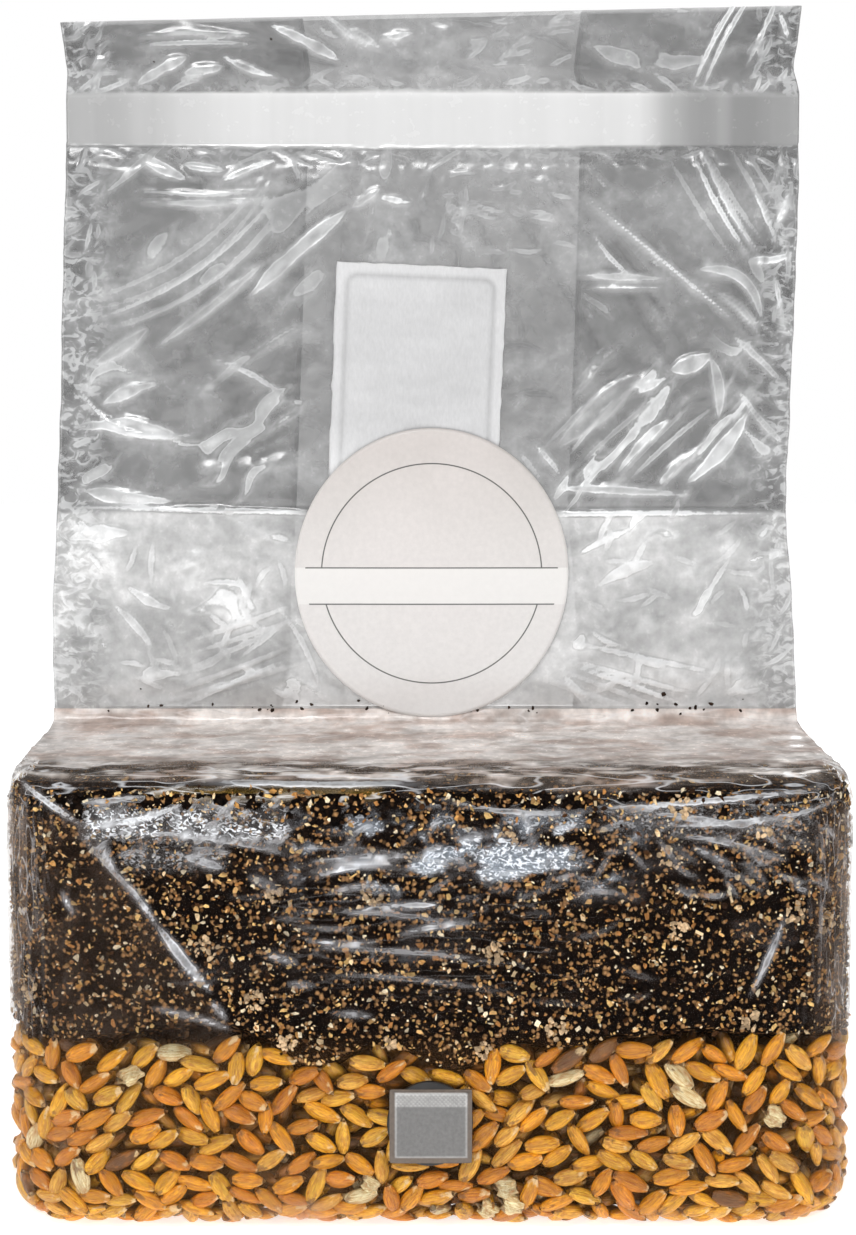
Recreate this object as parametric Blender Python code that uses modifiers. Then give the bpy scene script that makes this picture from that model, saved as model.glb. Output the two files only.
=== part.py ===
"""Mushroom grow bag: a gusseted clear film bag, sealed near its top, standing on a brick of
grain and dark substrate.  Metres, +Z up, front faces -Y, the base rests on z = 0."""
import math

import bmesh
import bpy
from mathutils import Matrix, Vector

# Film bag
FILM = 0.0004            # wall thickness as modelled
GAP = 0.0003             # clearance between touching pieces
BRICK_W = 0.2215         # filled lower part, side to side
BRICK_D = 0.1280         # filled lower part, front to back
CORNER_R = 0.022         # upright corners of the brick
BASE_R = 0.012           # rounding from the base into the walls
SHOULDER_Z = 0.110       # height where the walls start to turn into the roof
SLEEVE_T = 0.0064        # front to back across the flattened upper part
FOLD_R = 0.0009          # outer radius of a side fold
SLOT_R = 0.0010          # radius at the bottom of a gusset slot
GUSSET = 0.0620          # depth of a tucked-in gusset
RIDGE = (0.1028, -0.0013, 0.1264)    # where the roof meets the sleeve: half width, middle X, height
# The sleeve above the ridge: half width, middle X, height
SLEEVE = ((0.1022, -0.0021, 0.1585), (0.1003, -0.0024, 0.1840),
          (0.1002, -0.0006, 0.2340), (0.1000, 0.0007, 0.2800))
BAND_Z = (0.2838, 0.2975)   # heat-seal band
BAND_HALF_W = 0.1000
BAND_X = 0.0008
BAND_T = 0.0029          # thickness across the fused band
MOUTH = (0.1007, 0.0003, 0.3189)     # cut edge of the flap: half width, middle X, height
MOUTH_SLANT = 0.0023     # rise of the cut edge towards +X

# Fill
GRAIN_Z = 0.0525         # usual height of the grain's top
FILL_TOP_Z = 0.1170      # top of the dark substrate
# Dips in the grain's top along X: centre, depth, half width
GRAIN_DIPS = ((-0.0306, 0.008, 0.010), (0.0064, 0.0115, 0.013), (0.0332, 0.004, 0.010))

# Fittings on the front
PATCH_SIZE = (0.0464, 0.0620)        # filter patch width and height
PATCH_AT = (-0.0035, 0.2200)         # its centre, X and Z
PATCH_TURN = 2.4                     # degrees clockwise, seen from the front
PATCH_T = 0.0004
VENT_SIZE = (0.030, 0.042)           # window cut in the film under the patch
LABEL_R = (0.0376, 0.0399)           # label half width and half height
LABEL_AT = (0.0005, 0.1669)
LABEL_T = 0.00025
PORT_R = 0.0110
PORT_AT = (0.0, 0.0298)
PORT_T = 0.0016
PORT_HOLE_R = 0.0030
COVER_SIZE = (0.0211, 0.0192)
COVER_AT = (0.0002, 0.0292)
COVER_T = 0.00035

ARC_STEPS = 4            # segments in a side fold or brick corner
SLOT_STEPS = 2           # segments in half a gusset slot's bottom
PANEL_STEPS = (4, 2)     # segments in half a front panel and in half a gusset
FILL_STEPS = 8           # segments across half of the fill's front


def clear_scene():
    for obj in list(bpy.data.objects):
        bpy.data.objects.remove(obj, do_unlink=True)


def new_collection(name):
    group = bpy.data.collections.new(name)
    bpy.context.scene.collection.children.link(group)
    return group


def material(name, rgb, roughness, metallic=0.0):
    mat = bpy.data.materials.new(name)
    mat.use_nodes = True
    shader = mat.node_tree.nodes["Principled BSDF"]
    shader.inputs["Base Color"].default_value = (*rgb, 1.0)
    shader.inputs["Roughness"].default_value = roughness
    shader.inputs["Metallic"].default_value = metallic
    mat.diffuse_color = (*rgb, 1.0)
    return mat


def mesh_object(name, group, verts, faces):
    """A node from a list of points and faces, with all faces turned outwards."""
    mesh = bpy.data.meshes.new(name)
    mesh.from_pydata(verts, [], faces)
    work = bmesh.new()
    work.from_mesh(mesh)
    bmesh.ops.recalc_face_normals(work, faces=work.faces)
    work.to_mesh(mesh)
    work.free()
    obj = bpy.data.objects.new(name, mesh)
    group.objects.link(obj)
    return obj


def quarter_outline(half_w, half_d, fold_r, slot_r, turn, front_steps):
    """Points of one quarter of a bag section, from the front centre to the middle of the side.

    turn is how far the side panel is swung inwards past straight: 0 for the filled brick,
    close to 90 degrees for a tucked gusset."""
    points = []
    front_end = half_w - fold_r
    for i in range(front_steps):
        points.append((front_end * i / front_steps, -half_d))
    for i in range(ARC_STEPS + 1):
        angle = -math.pi / 2 + (math.pi / 2 + turn) * i / ARC_STEPS
        points.append((front_end + fold_r * math.cos(angle), -half_d + fold_r + fold_r * math.sin(angle)))
    start = points[-1]
    if turn == 0.0:
        steps = PANEL_STEPS[1] + SLOT_STEPS
        return points + [(start[0], start[1] * (1 - i / steps)) for i in range(1, steps + 1)]
    length = (half_d - fold_r - (fold_r + slot_r) * math.sin(turn)) / math.cos(turn)
    for i in range(1, PANEL_STEPS[1] + 1):
        run = length * i / PANEL_STEPS[1]
        points.append((start[0] - run * math.sin(turn), start[1] + run * math.cos(turn)))
    centre_x = points[-1][0] + slot_r * math.cos(turn)
    for i in range(1, SLOT_STEPS + 1):
        angle = math.pi + turn * (1 - i / SLOT_STEPS)
        points.append((centre_x + slot_r * math.cos(angle), slot_r * math.sin(angle)))
    return points


def outline(half_w, half_d, fold_r, slot_r=0.001, gusset=0.0, front_steps=PANEL_STEPS[0]):
    """Closed section of the bag; gusset is how deep the sides are tucked in."""
    sizes = (half_w, half_d, fold_r, slot_r)
    turn = 0.0
    if gusset > 0.0:
        low, high = 0.0, math.pi / 2 - 1e-5
        for _ in range(60):
            turn = (low + high) / 2
            reach = half_w - quarter_outline(*sizes, turn, front_steps)[-1][0]
            if reach < gusset:
                low = turn
            else:
                high = turn
    quarter = quarter_outline(*sizes, turn, front_steps)
    right = quarter + [(x, -y) for x, y in reversed(quarter[1:-1])]
    back = [(0.0, half_d)]
    left = [(-x, y) for x, y in reversed(right[1:])]
    return right + back + left


def moved(section, x_shift):
    return [(x + x_shift, y) for x, y in section]


def ring_at(section, height):
    """Section points at one height; height may depend on the point."""
    if callable(height):
        return [Vector((x, y, height(x, y))) for x, y in section]
    return [Vector((x, y, height)) for x, y in section]


def loft(name, group, rings, close_top, rising=True):
    """Skin over unlike sections, closed at the base and, if asked, at the top.

    rising picks the diagonal that splits each quad, so that two lofts can share a surface."""
    verts = [point for ring in rings for point in ring]
    count = len(rings[0])
    faces = []
    for level in range(len(rings) - 1):
        base = level * count
        for i in range(count):
            j = (i + 1) % count
            corners = (base + i, base + j, base + count + j, base + count + i)
            if not rising:
                corners = corners[1:] + corners[:1]
            faces.append((corners[0], corners[1], corners[2]))
            faces.append((corners[0], corners[2], corners[3]))
    faces.append(tuple(reversed(range(count))))
    if close_top:
        last = (len(rings) - 1) * count
        faces.append(tuple(last + i for i in range(count)))
    return mesh_object(name, group, verts, faces)


def brick_section(inset, front_steps=PANEL_STEPS[0]):
    return outline(BRICK_W / 2 - inset, BRICK_D / 2 - inset, max(CORNER_R - inset, 0.006),
                   front_steps=front_steps)


def base_rings(clearance, front_steps=PANEL_STEPS[0]):
    """Rounding from the flat base up into the walls, set in by a clearance."""
    rings = []
    for degrees in (0, 30, 60, 90):
        angle = math.radians(degrees)
        inset = BASE_R * (1 - math.sin(angle)) + clearance * math.sin(angle)
        height = BASE_R * (1 - math.cos(angle)) + clearance * math.cos(angle)
        rings.append(ring_at(brick_section(inset, front_steps), height))
    return rings


def grain_height(x, y):
    """Top of the grain: nearly level, with dips where substrate has run down at the front."""
    height = GRAIN_Z + 0.0012 * math.sin(95 * x + 1.0) + 0.0010 * math.sin(140 * y - 70 * x)
    nearness = 0.35 + 0.65 * max(0.0, -y) / (BRICK_D / 2)
    for centre, depth, half in GRAIN_DIPS:
        height -= nearness * depth * math.exp(-((x - centre) / half) ** 2)
    return height


def apply_modifier(obj, mod):
    bpy.context.view_layer.objects.active = obj
    bpy.ops.object.modifier_apply(modifier=mod.name)


def boolean(obj, tool, operation):
    mod = obj.modifiers.new(operation.lower(), "BOOLEAN")
    mod.object = tool
    mod.operation = operation
    mod.solver = "EXACT"
    apply_modifier(obj, mod)


def as_tool(obj, tools):
    for group in list(obj.users_collection):
        group.objects.unlink(obj)
    tools.objects.link(obj)
    obj.hide_render = True
    obj.display_type = "WIRE"
    return obj


def own(obj, name, group):
    for other in list(obj.users_collection):
        other.objects.unlink(obj)
    group.objects.link(obj)
    obj.name = name
    obj.data.name = name
    return obj


def box(name, group, size, centre):
    bpy.ops.mesh.primitive_cube_add(size=1.0, location=centre)
    obj = bpy.context.active_object
    obj.scale = size
    bpy.ops.object.transform_apply(location=True, rotation=False, scale=True)
    return own(obj, name, group)


def disc(name, group, radius, thickness, centre, sides):
    """Round plate facing the front."""
    bpy.ops.mesh.primitive_cylinder_add(
        vertices=sides, radius=radius, depth=thickness, location=centre,
        rotation=(math.pi / 2, 0.0, 0.0))
    bpy.ops.object.transform_apply(location=True, rotation=True, scale=True)
    return own(bpy.context.active_object, name, group)


def soften(obj, width, segments=2, angle=40):
    mod = obj.modifiers.new("edge", "BEVEL")
    mod.width = width
    mod.segments = segments
    mod.limit_method = "ANGLE"
    mod.angle_limit = math.radians(angle)
    apply_modifier(obj, mod)


def round_corners(obj, radius, segments=4):
    """Round only the edges that run front to back."""
    work = bmesh.new()
    work.from_mesh(obj.data)
    edges = [e for e in work.edges
             if abs((e.verts[0].co - e.verts[1].co).normalized().y) > 0.99]
    bmesh.ops.bevel(work, geom=edges, offset=radius, segments=segments, profile=0.5, affect="EDGES")
    work.to_mesh(obj.data)
    work.free()


def turn(obj, degrees, centre):
    """Turn a flat piece clockwise as seen from the front."""
    spin = Matrix.Rotation(math.radians(degrees), 4, "Y")
    place = Matrix.Translation(centre)
    obj.data.transform(place @ spin @ place.inverted())


def shade(obj, angle=35):
    bpy.context.view_layer.objects.active = obj
    for other in bpy.context.selected_objects:
        other.select_set(False)
    obj.select_set(True)
    bpy.ops.object.shade_smooth_by_angle(angle=math.radians(angle))


def build_bag(group, tools):
    half_w = BRICK_W / 2
    half_d = BRICK_D / 2
    sleeve = SLEEVE_T / 2
    rings = base_rings(0.0)
    for height in (0.055, SHOULDER_Z):
        rings.append(ring_at(brick_section(0.0), height))
    # Shoulder and roof: half width, half depth, corner radius, middle X, height
    for w, d, r, x, z in ((half_w - 0.0009, half_d - 0.0025, 0.0205, 0.0, 0.1150),
                          (half_w - 0.0027, half_d - 0.0080, 0.0170, 0.0, 0.1185),
                          (0.1058, 0.0360, 0.0120, -0.0005, 0.1212),
                          (0.1034, 0.0120, 0.0080, -0.0010, 0.1240),
                          (RIDGE[0], sleeve, 0.0030, RIDGE[1], RIDGE[2])):
        rings.append(ring_at(moved(outline(w, d, r), x), z))
    # The gusset slots deepen just above the ridge: depth, fold radius, rise
    for gusset, fold, rise in ((0.0026, 0.00105, 0.0040), (0.0110, 0.0010, 0.0080), (0.0320, FOLD_R, 0.0170)):
        section = outline(RIDGE[0], sleeve, fold, SLOT_R, gusset)
        rings.append(ring_at(moved(section, RIDGE[1]), RIDGE[2] + rise))
    for w, x, z in SLEEVE:
        rings.append(ring_at(moved(outline(w, sleeve, FOLD_R, SLOT_R, GUSSET), x), z))
    fused = moved(outline(BAND_HALF_W, BAND_T / 2, 0.0006, 0.0002, GUSSET), BAND_X)
    for z in (BAND_Z[0] - 0.0005, BAND_Z[1] + 0.0005):
        rings.append(ring_at(fused, z))
    top = outline(MOUTH[0], sleeve * 0.8, FOLD_R * 0.75, SLOT_R * 0.9, GUSSET)
    rings.append(ring_at(moved(top, MOUTH[1]), lambda x, y: MOUTH[2] + MOUTH_SLANT * x / MOUTH[0]))
    bag = loft("bag", group, rings, close_top=False)

    wall = bag.modifiers.new("wall", "SOLIDIFY")
    wall.thickness = FILM
    wall.offset = -1.0
    wall.use_even_offset = True
    apply_modifier(bag, wall)

    weld_size = (2 * BAND_HALF_W - 0.0004, BAND_T - 0.0006, BAND_Z[1] - BAND_Z[0])
    weld = box("seal_weld", group, weld_size, (BAND_X, 0.0, sum(BAND_Z) / 2))
    boolean(bag, as_tool(weld, tools), "UNION")
    hole = disc("port_hole", group, PORT_HOLE_R, 0.006, (PORT_AT[0], -half_d, PORT_AT[1]), 20)
    boolean(bag, as_tool(hole, tools), "DIFFERENCE")
    vent = box("vent_window", group, (VENT_SIZE[0], 0.0012, VENT_SIZE[1]),
               (PATCH_AT[0], -sleeve, PATCH_AT[1]))
    boolean(bag, as_tool(vent, tools), "DIFFERENCE")
    shade(bag)
    return bag


def build_fill(group):
    """Grain below and substrate above, meeting at an uneven level."""
    clear = FILM + GAP
    wall = brick_section(clear, FILL_STEPS)
    shrink = (0.82, 0.62, 0.42, 0.22, 0.06)
    level = [[(x * k, y * k) for x, y in wall] for k in shrink]

    rings = base_rings(clear, FILL_STEPS) + [ring_at(wall, 0.032), ring_at(wall, grain_height)]
    rings += [ring_at(section, grain_height) for section in level]
    grain = loft("grain_layer", group, rings, close_top=True)

    def lower_face(x, y):
        return grain_height(x, y) + GAP

    rings = [ring_at(section, lower_face) for section in reversed(level)]
    rings += [ring_at(wall, lower_face), ring_at(wall, 0.080), ring_at(wall, SHOULDER_Z - 0.002)]
    for inset, z in ((0.0022, 0.1132), (0.0055, 0.1158), (0.0120, FILL_TOP_Z)):
        rings.append(ring_at(brick_section(clear + inset, FILL_STEPS), z))
    substrate = loft("substrate_layer", group, rings, close_top=True, rising=False)
    shade(grain, 50)
    shade(substrate, 50)
    return grain, substrate


def build_fittings(group):
    sleeve_front = -SLEEVE_T / 2
    brick_front = -BRICK_D / 2

    patch_y = sleeve_front - GAP - PATCH_T / 2
    patch = box("filter_patch", group, (PATCH_SIZE[0], PATCH_T, PATCH_SIZE[1]),
                (PATCH_AT[0], patch_y, PATCH_AT[1]))
    round_corners(patch, 0.0012, 2)
    turn(patch, PATCH_TURN, (PATCH_AT[0], patch_y, PATCH_AT[1]))

    label_y = sleeve_front - 2 * GAP - PATCH_T - LABEL_T / 2
    label = disc("label", group, 1.0, LABEL_T, (0.0, 0.0, 0.0), 64)
    label.scale = (LABEL_R[0], 1.0, LABEL_R[1])
    label.location = (LABEL_AT[0], label_y, LABEL_AT[1])
    bpy.ops.object.transform_apply(location=True, rotation=False, scale=True)

    port_y = brick_front - GAP - PORT_T / 2
    port = disc("injection_port", group, PORT_R, PORT_T, (PORT_AT[0], port_y, PORT_AT[1]), 40)
    soften(port, 0.0004)

    cover_y = brick_front - 2 * GAP - PORT_T - COVER_T / 2
    cover = box("port_cover", group, (COVER_SIZE[0], COVER_T, COVER_SIZE[1]),
                (COVER_AT[0], cover_y, COVER_AT[1]))
    round_corners(cover, 0.0008, 2)
    return patch, label, port, cover


def main():
    clear_scene()
    group = new_collection("mushroom_grow_bag")
    tools = new_collection("cutters")
    bag = build_bag(group, tools)
    grain, substrate = build_fill(group)
    patch, label, port, cover = build_fittings(group)
    looks = (
        (bag, "clear_film", (0.55, 0.55, 0.54), 0.18),
        (grain, "grain", (0.58, 0.27, 0.05), 0.50),
        (substrate, "dark_substrate", (0.045, 0.025, 0.015), 0.80),
        (patch, "filter_paper", (0.72, 0.72, 0.72), 0.60),
        (label, "label_paper", (0.78, 0.74, 0.72), 0.45),
        (port, "black_rubber", (0.012, 0.012, 0.013), 0.55),
        (cover, "grey_foil", (0.26, 0.25, 0.25), 0.40),
    )
    for obj, name, rgb, roughness in looks:
        obj.data.materials.clear()
        obj.data.materials.append(material(name, rgb, roughness))
    for tool in list(tools.objects):
        tool.hide_set(True)


main()
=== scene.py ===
import math

import bpy
import numpy as np
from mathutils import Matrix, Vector


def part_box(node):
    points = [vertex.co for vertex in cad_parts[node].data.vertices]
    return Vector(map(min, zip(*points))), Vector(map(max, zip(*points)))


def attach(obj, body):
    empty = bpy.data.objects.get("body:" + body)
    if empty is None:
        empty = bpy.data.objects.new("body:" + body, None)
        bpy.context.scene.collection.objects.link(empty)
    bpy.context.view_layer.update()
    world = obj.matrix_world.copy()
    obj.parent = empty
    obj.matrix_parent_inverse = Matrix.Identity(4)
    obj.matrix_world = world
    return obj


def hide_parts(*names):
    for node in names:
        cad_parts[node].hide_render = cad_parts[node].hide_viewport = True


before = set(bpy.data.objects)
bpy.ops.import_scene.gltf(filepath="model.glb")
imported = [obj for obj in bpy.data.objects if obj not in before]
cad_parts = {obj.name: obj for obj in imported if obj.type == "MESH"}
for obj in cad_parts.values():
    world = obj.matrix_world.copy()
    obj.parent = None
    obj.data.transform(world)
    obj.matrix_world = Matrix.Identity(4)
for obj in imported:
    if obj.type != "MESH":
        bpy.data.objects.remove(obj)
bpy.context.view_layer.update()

MM = 0.001

BAG_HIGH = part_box("bag")[1]
HALF_W = BAG_HIGH.x                    # brick, side to side
HALF_D = BAG_HIGH.y                    # brick, front to back
TOP_Z = BAG_HIGH.z
FILL_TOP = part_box("substrate_layer")[1].z
LABEL_LOW, LABEL_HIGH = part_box("label")
PATCH_LOW, PATCH_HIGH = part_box("filter_patch")
PORT_LOW, PORT_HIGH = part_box("injection_port")
COVER_LOW, COVER_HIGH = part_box("port_cover")
LABEL_AT = (LABEL_LOW + LABEL_HIGH) / 2
PATCH_AT = (PATCH_LOW + PATCH_HIGH) / 2
PORT_AT = (PORT_LOW + PORT_HIGH) / 2

CORNER_R = 22 * MM                     # upright corners of the brick
BASE_R = 12 * MM                       # base into the walls
SLEEVE_Y = 3.2 * MM                    # half thickness of the flattened upper bag
RIDGE_Z = 126.4 * MM                   # where the roof meets the upper bag
CREASE_Z = 184 * MM                    # old fold across the upper bag
BAND_Z = (283.8 * MM, 297.5 * MM)      # heat-seal band
MOUTH_RISE = 2.3 * MM                  # slant of the cut top edge
GRAIN_TOP = 52.5 * MM                  # height of the grain at the film, between the dips
# dips in the front of the grain, in mm: X, depth and half width
GRAIN_DIPS = ((-30.6, 8.0, 10.0), (6.4, 11.5, 13.0), (33.2, 4.0, 10.0))


# ---------------------------------------------------------------- noise and small maths
def smooth(low, high, value):
    """0 at low, 1 at high and a soft step between; high may be the smaller."""
    t = np.clip((value - low) / (high - low), 0.0, 1.0)
    return t * t * (3.0 - 2.0 * t)


def lattice(ix, iy, iz, seed):
    """Repeatable pseudo-random value in -1..1 for whole-number grid points."""
    h = ix.astype(np.uint64) * np.uint64(374761393) + iy.astype(np.uint64) * np.uint64(668265263)
    h = h + iz.astype(np.uint64) * np.uint64(2246822519) + np.uint64(seed * 3266489917)
    h = (h ^ (h >> np.uint64(13))) * np.uint64(1274126177)
    h = h ^ (h >> np.uint64(16))
    return (h & np.uint64(0xFFFF)).astype(float) / 32767.5 - 1.0


def noise(x, y, z, seed=0):
    """Smooth value noise, one feature per unit."""
    x, y, z = np.broadcast_arrays(np.asarray(x, float), y, z)
    x0, y0, z0 = np.floor(x), np.floor(y), np.floor(z)
    fx, fy, fz = x - x0, y - y0, z - z0
    fx, fy, fz = (f * f * f * (f * (f * 6 - 15) + 10) for f in (fx, fy, fz))
    ix, iy, iz = (v.astype(np.int64) + 100000 for v in (x0, y0, z0))
    total = 0.0
    for dx in (0, 1):
        for dy in (0, 1):
            for dz in (0, 1):
                weight = (fx if dx else 1 - fx) * (fy if dy else 1 - fy) * (fz if dz else 1 - fz)
                total = total + weight * lattice(ix + dx, iy + dy, iz + dz, seed)
    return total


def fractal(x, y, z, seed=0, octaves=3):
    """Noise summed over octaves, each twice as fine and half as strong."""
    total, gain = 0.0, 1.0
    for k in range(octaves):
        total = total + gain * noise(x * 2.0 ** k, y * 2.0 ** k, z * 2.0 ** k, seed + 17 * k)
        gain *= 0.5
    return total


def crumple(x, y, size, seed, sheets=5):
    """Creased-sheet height, about -1..1: warped triangle waves laid across each other."""
    rng = np.random.default_rng(seed)
    warp_x = 0.9 * size * noise(x / (2.4 * size), y / (2.4 * size), 3.7, seed + 1)
    warp_y = 0.9 * size * noise(x / (2.4 * size), y / (2.4 * size), 9.1, seed + 2)
    total = 0.0
    for _ in range(sheets):
        angle = rng.uniform(0, math.pi)
        pitch = size * rng.uniform(1.5, 3.2)
        run = ((x + warp_x) * math.cos(angle) + (y + warp_y) * math.sin(angle)) / pitch + rng.uniform(0, 1)
        total = total + (4 * np.abs(run - np.floor(run) - 0.5) - 1) * pitch / (2.4 * size)
    return total / sheets ** 0.5


# ---------------------------------------------------------------- mesh helpers
def mesh_piece(name, points, faces, replaces=(), smooth_shade=True):
    """A piece from arrays: faces is a list of index arrays, each with one face size."""
    mesh = bpy.data.meshes.new(name)
    faces = [f for f in faces if len(f)]
    flat = np.concatenate([f.ravel() for f in faces]).astype(np.int32)
    sizes = np.concatenate([np.full(len(f), f.shape[1]) for f in faces])
    starts = np.concatenate(([0], np.cumsum(sizes)[:-1])).astype(np.int32)
    mesh.vertices.add(len(points))
    mesh.vertices.foreach_set("co", np.ascontiguousarray(points, np.float32).ravel())
    mesh.loops.add(len(flat))
    mesh.loops.foreach_set("vertex_index", flat)
    mesh.polygons.add(len(starts))
    mesh.polygons.foreach_set("loop_start", starts)
    mesh.polygons.foreach_set("use_smooth", np.full(len(starts), smooth_shade))
    mesh.update(calc_edges=True)
    mesh.validate()
    obj = bpy.data.objects.new(name, mesh)
    bpy.context.scene.collection.objects.link(obj)
    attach(obj, "root")
    if replaces:
        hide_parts(*replaces)
    return obj


def paint(obj, name, values):
    """Stores a number or a colour per point for the materials to read."""
    values = np.asarray(values, np.float32)
    kind = "FLOAT_COLOR" if values.ndim == 2 else "FLOAT"
    layer = obj.data.attributes.new(name, kind, "POINT")
    layer.data.foreach_set("color" if values.ndim == 2 else "value", values.ravel())


def ring_faces(rows, columns, first=0, closed=True):
    """Quads of a grid of rows; closed joins the last column to the first."""
    i = np.arange(rows - 1)[:, None] * columns
    j = np.arange(columns if closed else columns - 1)[None, :]
    k = (j + 1) % columns
    quads = np.stack([i + j, i + k, i + columns + k, i + columns + j], axis=-1)
    return quads.reshape(-1, 4) + first


def loop_pairs(count):
    """Each place in a closed loop, and the one after it."""
    j = np.arange(count)
    return j, (j + 1) % count


def grid_normals(points):
    """Outward directions of a closed grid, rows upwards."""
    along = np.gradient(points, axis=0)
    around = (np.roll(points, -1, axis=1) - np.roll(points, 1, axis=1)) / 2
    normal = np.cross(around, along)
    return normal / np.maximum(np.linalg.norm(normal, axis=-1, keepdims=True), 1e-12)


# ---------------------------------------------------------------- the bag's shape
def film_profile():
    """Section sizes up the bag, one row per 0.25 mm of film: z, half width, half depth,
    corner radius, slot radius, gusset depth and middle X, as a table by film length."""
    keys = []
    for degrees in range(0, 91, 10):
        angle = math.radians(degrees)
        inset = BASE_R * (1 - math.sin(angle))
        height = BASE_R * (1 - math.cos(angle))
        keys.append((height, HALF_W - inset, HALF_D - inset, CORNER_R - inset * 0.8, 0.002, 0.0, 0.0))
    w, d = HALF_W, HALF_D
    # height, half width, half depth, corner radius, slot radius, gusset depth, middle X
    keys += [
        (0.05, w - 0.0002, d, 0.022, 0.002, 0.0, 0.0),
        (0.098, w, d - 0.0002, 0.0215, 0.002, 0.0, 0.0),
        (0.111, w - 0.0002, d - 0.0014, 0.0205, 0.002, 0.0, 0.0),
        (0.1158, w - 0.0012, d - 0.003, 0.019, 0.002, 0.002, 0.0),
        (0.1182, w - 0.0026, d - 0.0062, 0.016, 0.002, 0.009, -0.0002),
        (0.1196, w - 0.0038, d - 0.014, 0.012, 0.002, 0.026, -0.0004),
        (0.1212, 0.1058, 0.036, 0.006, 0.002, 0.047, -0.0008),
        (0.124, 0.1036, 0.012, 0.0024, 0.0014, 0.06, -0.001),
        (0.1258, 0.103, 0.0044, 0.0011, 0.001, 0.062, -0.0012),
        (0.13, 0.1028, 0.0032, 0.0009, 0.001, 0.0625, -0.0013),
        (0.1585, 0.1022, 0.0032, 0.0009, 0.001, 0.0628, -0.0021),
        (0.184, 0.1003, 0.0032, 0.0009, 0.001, 0.0628, -0.0024),
        (0.234, 0.1002, 0.0032, 0.0009, 0.001, 0.0628, -0.0006),
        (0.278, 0.1, 0.003, 0.0008, 0.001, 0.0628, 0.0007),
        (BAND_Z[0], 0.1, 0.0008, 0.00022, 0.0002, 0.0628, 0.0008),
        (BAND_Z[1], 0.1, 0.0008, 0.00022, 0.0002, 0.0628, 0.0008),
        (0.304, 0.0987, 0.0028, 0.0008, 0.0008, 0.0628, 0.0003),
        (TOP_Z - MOUTH_RISE, 0.1007, 0.0034, 0.0009, 0.001, 0.0628, 0.0003),
    ]
    keys = np.array(keys)
    steps = np.hypot(np.diff(keys[:, 0]), np.diff(keys[:, 2]))
    length = np.concatenate(([0.0], np.cumsum(steps)))
    fine = np.arange(0.0, length[-1], 0.25 * MM)
    table = np.stack([np.interp(fine, length, keys[:, k]) for k in range(keys.shape[1])], axis=1)
    window = np.hanning(15)
    window /= window.sum()
    padded = np.pad(table, ((7, 7), (0, 0)), mode="reflect", reflect_type="odd")
    table = np.stack([np.convolve(padded[:, k], window, "valid") for k in range(table.shape[1])], axis=1)
    table[:, 0] = np.maximum.accumulate(np.maximum(table[:, 0], 0.0))
    return fine, table


def swing(half_w, half_d, r, q, gusset):
    """How far the side panel turns inwards so that its middle is tucked in by gusset."""
    low, high = np.zeros_like(half_w), np.full_like(half_w, math.pi / 2 - 1e-5)
    for _ in range(50):
        turn = (low + high) / 2
        length = (half_d - r - (r + q) * np.sin(turn)) / np.cos(turn)
        reach = r - r * np.cos(turn) + length * np.sin(turn) - q * np.cos(turn) + q
        low, high = np.where(reach < gusset, turn, low), np.where(reach < gusset, high, turn)
    return np.where(gusset > 1e-4, (low + high) / 2, 0.0)


def section_points(rows, part, share):
    """Quarter-section X and half-depth Y for each row and column.

    part 0 is the front or back panel, share running from the middle to the fold; part 1 is
    the side panel, share running from the fold to the middle of the gusset."""
    _, a, b, r, q, g, _ = (rows[:, k][:, None] for k in range(7))
    turn = swing(a, b, r, q, g)
    panel = (b - r - (r + q) * np.sin(turn)) / np.cos(turn)
    half_arc = r * (math.pi / 2 + turn) / 2
    flat = a - r
    run = share[None, :] * (flat + half_arc)
    angle = -math.pi / 2 + np.maximum(run - flat, 0.0) / r
    front_x = np.where(run < flat, run, flat + r * np.cos(angle))
    front_y = np.where(run < flat, -b, -b + r + r * np.sin(angle))
    run = share[None, :] * (half_arc + panel + q * turn)
    mid = -math.pi / 2 + (math.pi / 2 + turn) / 2
    angle = mid + np.minimum(run, half_arc) / r
    side_x = flat + r * np.cos(angle)
    side_y = -b + r + r * np.sin(angle)
    on = np.clip(run - half_arc, 0.0, panel)
    side_x, side_y = side_x - on * np.sin(turn), side_y + on * np.cos(turn)
    past = np.maximum(run - half_arc - panel, 0.0)
    start = math.pi + turn
    bend = start - past / q
    side_x = side_x + q * (np.cos(bend) - np.cos(start))
    side_y = side_y + q * (np.sin(bend) - np.sin(start))
    first = part[None, :] == 0
    return np.where(first, front_x, side_x), np.where(first, front_y, side_y)


def film_columns(front, side, back):
    """Columns around the bag: part, share, side sign and depth sign, from the front middle."""
    columns = []
    for k in range(front):
        columns.append((0, k / front, 1, 1))
    for k in range(side):
        columns.append((1, k / side, 1, 1))
    for k in range(side, 0, -1):
        columns.append((1, k / side, 1, -1))
    for k in range(back, 0, -1):
        columns.append((0, k / back, 1, -1))
    left = [(p, s, -1, d) for p, s, _, d in reversed(columns[1:])]
    columns.append((0, 0.0, 1, -1))
    return np.array(columns + left, float)


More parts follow.
